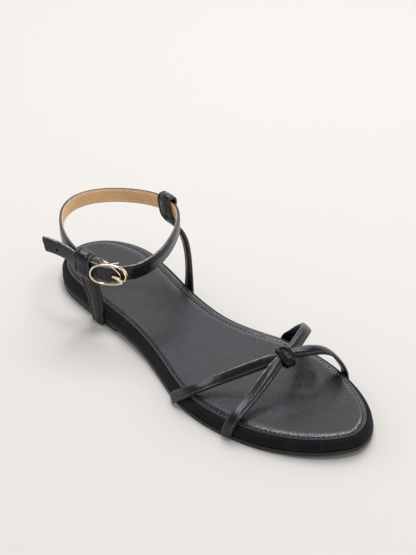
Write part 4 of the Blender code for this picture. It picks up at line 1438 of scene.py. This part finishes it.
dress(elastic_tie(), elastic_tape(), "elastic_tape", "buckle_elastic")

# %% [markdown]
# ## Stitches
# Thread shows as rows of short beads, dark dashes on the sock and paler ones on the straps. One bead is
# modelled from a sphere, and copies of it are joined into one mesh for each seam, turned so that each
# bead lies along its seam, in or just above the groove.

# %% Stitch helper
BEAD_SEGMENTS, BEAD_RINGS = 6, 5
LOOK_AHEAD = 0.2
Stitch = namedtuple("Stitch", "pitch length width height")


def bead():
    """Corners and faces of a ball one millimetre across, its poles along X."""
    bpy.ops.mesh.primitive_uv_sphere_add(segments=BEAD_SEGMENTS, ring_count=BEAD_RINGS, radius=0.5,
                                         rotation=(0, math.pi / 2, 0))
    bpy.ops.object.transform_apply(rotation=True)
    sphere = bpy.context.object
    corners = np.array([v.co[:] for v in sphere.data.vertices])
    faces = sorted(tuple(f.vertices) for f in sphere.data.polygons)
    bpy.data.objects.remove(sphere, do_unlink=True)
    return corners, faces


BEAD_CORNERS, BEAD_FACES = bead()


def seam(line, ups, stitch, keep=None, until=1.0):
    """Places, directions and ups of stitches on a line; ups and keep have a row for each of its points."""
    run = run_along(line)
    even = np.arange(stitch.pitch / 2, run[-1], stitch.pitch)
    at = read_at(line, run, even)
    along = unit(read_at(line, run, even + LOOK_AHEAD) - at + 1e-9)
    share = even / run[-1]
    rows = np.rint(share * (len(line) - 1)).astype(int)
    good = share < until
    if keep is not None:
        good = good & keep[rows]
    return at[good], along[good], ups[rows[good]]


def sew(name, stitch, seams):
    """One mesh of the stitches of some seams, each turned along its seam."""
    places, along, up = (np.concatenate(rows) for rows in zip(*seams))
    side = unit(np.cross(up, along))
    size = BEAD_CORNERS * stitch[1:]
    corners = (places[:, None] + size[None, :, :1] * along[:, None] + size[None, :, 1:2] * side[:, None]
               + size[None, :, 2:] * up[:, None])
    count = len(BEAD_CORNERS)
    faces = [tuple(k + i * count for k in face) for i in range(len(places)) for face in BEAD_FACES]
    mesh = bpy.data.meshes.new(name)
    mesh.from_pydata((corners.reshape(-1, 3) * MM).tolist(), [], faces)
    piece = bpy.data.objects.new(name, mesh)
    bpy.context.scene.collection.objects.link(piece)
    bpy.ops.object.select_all(action="DESELECT")
    piece.select_set(True)
    bpy.context.view_layer.objects.active = piece
    bpy.ops.object.shade_smooth()
    return piece


def thread(name, colour, roughness=0.6):
    finish = Finish(name, colour, roughness)
    tone = finish.span(finish.noise(1.5, 2), 0.3, 0.7, 0, 1)
    darker = tuple(c * 0.7 for c in colour)
    finish.colour(finish.mix(tone, darker, colour))
    finish.bump(finish.noise(0.15, 2), 0.03, 0.6)
    finish.constant(Specular_IOR_Level=0.15)
    return finish.material


# %% Sock stitches
SOCK_STITCH = Stitch(2.5, 1.4, 1.0, 0.42)
SOCK_STITCH_RAISE = 0.08
loop = sock_border(STITCH_INSET)
line = ring_at(loop, sock_height(loop, STITCH_INSET) + SOCK_STITCH_RAISE)
line = np.concatenate([line, line[:1]])
sock_seam = sew("sock_stitches", SOCK_STITCH, [seam(line, np.tile(UPRIGHT, (len(line), 1)), SOCK_STITCH)])
dress(sock_seam, thread("dark_thread", (0.0045, 0.0045, 0.005), 0.85), "sock_leather")

# %% Strap stitches
STRAP_STITCH = Stitch(1.35, 0.95, 0.42, 0.42)
STITCH_SINK = 0.12
LOWEST_STITCH = 6
KNOT_COVERS = 0.55
seams = []
for strap in toe_straps:
    wide, face, _ = strap_frames(strap.centres, strap.rulings)
    narrow = TOE_STITCH * (1 - KNOT_GATHER * strap.near)
    line = strap.centres + wide * narrow[:, None] + face * (TOE_STRAP_THICKNESS / 2 - STITCH_SINK)
    keep = (strap.centres[:, 2] > LOWEST_STITCH) & (strap.near < KNOT_COVERS)
    seams.append(seam(line, face, STRAP_STITCH, keep))
strap_seam = sew("strap_stitches", STRAP_STITCH, seams)
dress(strap_seam, thread("grey_thread", (0.20, 0.20, 0.20)), "strap_leather")

# %% Lining stitches
LINING_STITCH = Stitch(1.75, 1.15, 0.72, 0.56)
LINING_SEAMS = (-2.9, ANKLE_STITCH)
LINING_RAISE = 0.06
LINED_SHARE = 0.9
seams = []
for across in LINING_SEAMS:
    line = ankle_centres + ankle_wide * across - ankle_face * (ANKLE_THICKNESS / 2 + LINING_RAISE)
    seams.append(seam(line, -ankle_face, LINING_STITCH, until=LINED_SHARE))
lining_seam = sew("lining_stitches", LINING_STITCH, seams)
dress(lining_seam, thread("pale_thread", (0.98, 0.93, 0.84)), "strap_leather")

# %% [markdown]
# ## Stage
# A plain pale floor of one tone, a broad softbox above and behind, a small one over the toe, and a
# surround with bright walls and a dim ceiling. The softboxes give the shadow its direction; the surround
# fills it, and leather and metal mirror it.

# %% Floor
FLOOR_SIZE = 8
bpy.ops.mesh.primitive_plane_add(size=FLOOR_SIZE)
floor = bpy.context.object
floor.name = "floor"
paper = Finish("floor_paper", (0.795, 0.771, 0.740), 0.9)
paper.constant(Specular_IOR_Level=0.05)
floor.data.materials.append(paper.material)
print("floor ready")

# %% Lights
def softbox(name, place_m, size, energy):
    """Square light at a place in metres, aimed at the middle of the floor."""
    bpy.ops.object.light_add(type="AREA", location=place_m)
    light = bpy.context.object
    light.name = name
    light.data.size = size
    light.data.energy = energy
    light.rotation_euler = (-Vector(place_m)).to_track_quat("-Z", "Y").to_euler()


softbox("rear_softbox", (0.42, 0.46, 1.16), 0.8, 8.6)
softbox("toe_softbox", (0.14, -0.30, 1.22), 0.28, 3.0)

# %% Surround
WALL_LIGHT = 1.62
WALL_TONE = (1.0, 0.993, 0.982, 1)
CEILING_SHARE = 0.22
CEILING_START, CEILING_FULL = 0.24, 0.80
FRONT_SHARE = 0.5
BRIGHT_SIDE = unit(np.array((0.75, 0.65, 0)))
SIDE_SPAN = 0.9


def surround():
    """Bright walls under a dim ceiling, half as bright in front of the shoe and on its outer side."""
    world = bpy.data.worlds.new("studio")
    world.use_nodes = True
    tree = world.node_tree
    coords = tree.nodes.new("ShaderNodeTexCoord")
    light = tree.nodes.new("ShaderNodeMath")
    light.operation = "MULTIPLY"
    ceiling = (UPRIGHT, (CEILING_START, CEILING_FULL, WALL_LIGHT, WALL_LIGHT * CEILING_SHARE))
    walls = (BRIGHT_SIDE, (-SIDE_SPAN, SIDE_SPAN, FRONT_SHARE, 1))
    for (direction, numbers), socket in zip((ceiling, walls), light.inputs):
        facing = tree.nodes.new("ShaderNodeVectorMath")
        facing.operation = "DOT_PRODUCT"
        facing.inputs[1].default_value = direction
        tree.links.new(coords.outputs["Generated"], facing.inputs[0])
        level = tree.nodes.new("ShaderNodeMapRange")
        set_span(level, numbers)
        tree.links.new(facing.outputs["Value"], level.inputs["Value"])
        tree.links.new(level.outputs["Result"], socket)
    background = tree.nodes["Background"]
    background.inputs["Color"].default_value = WALL_TONE
    tree.links.new(light.outputs[0], background.inputs["Strength"])
    return world


bpy.context.scene.world = surround()
bpy.context.scene.view_settings.view_transform = "Standard"
print("lights ready")
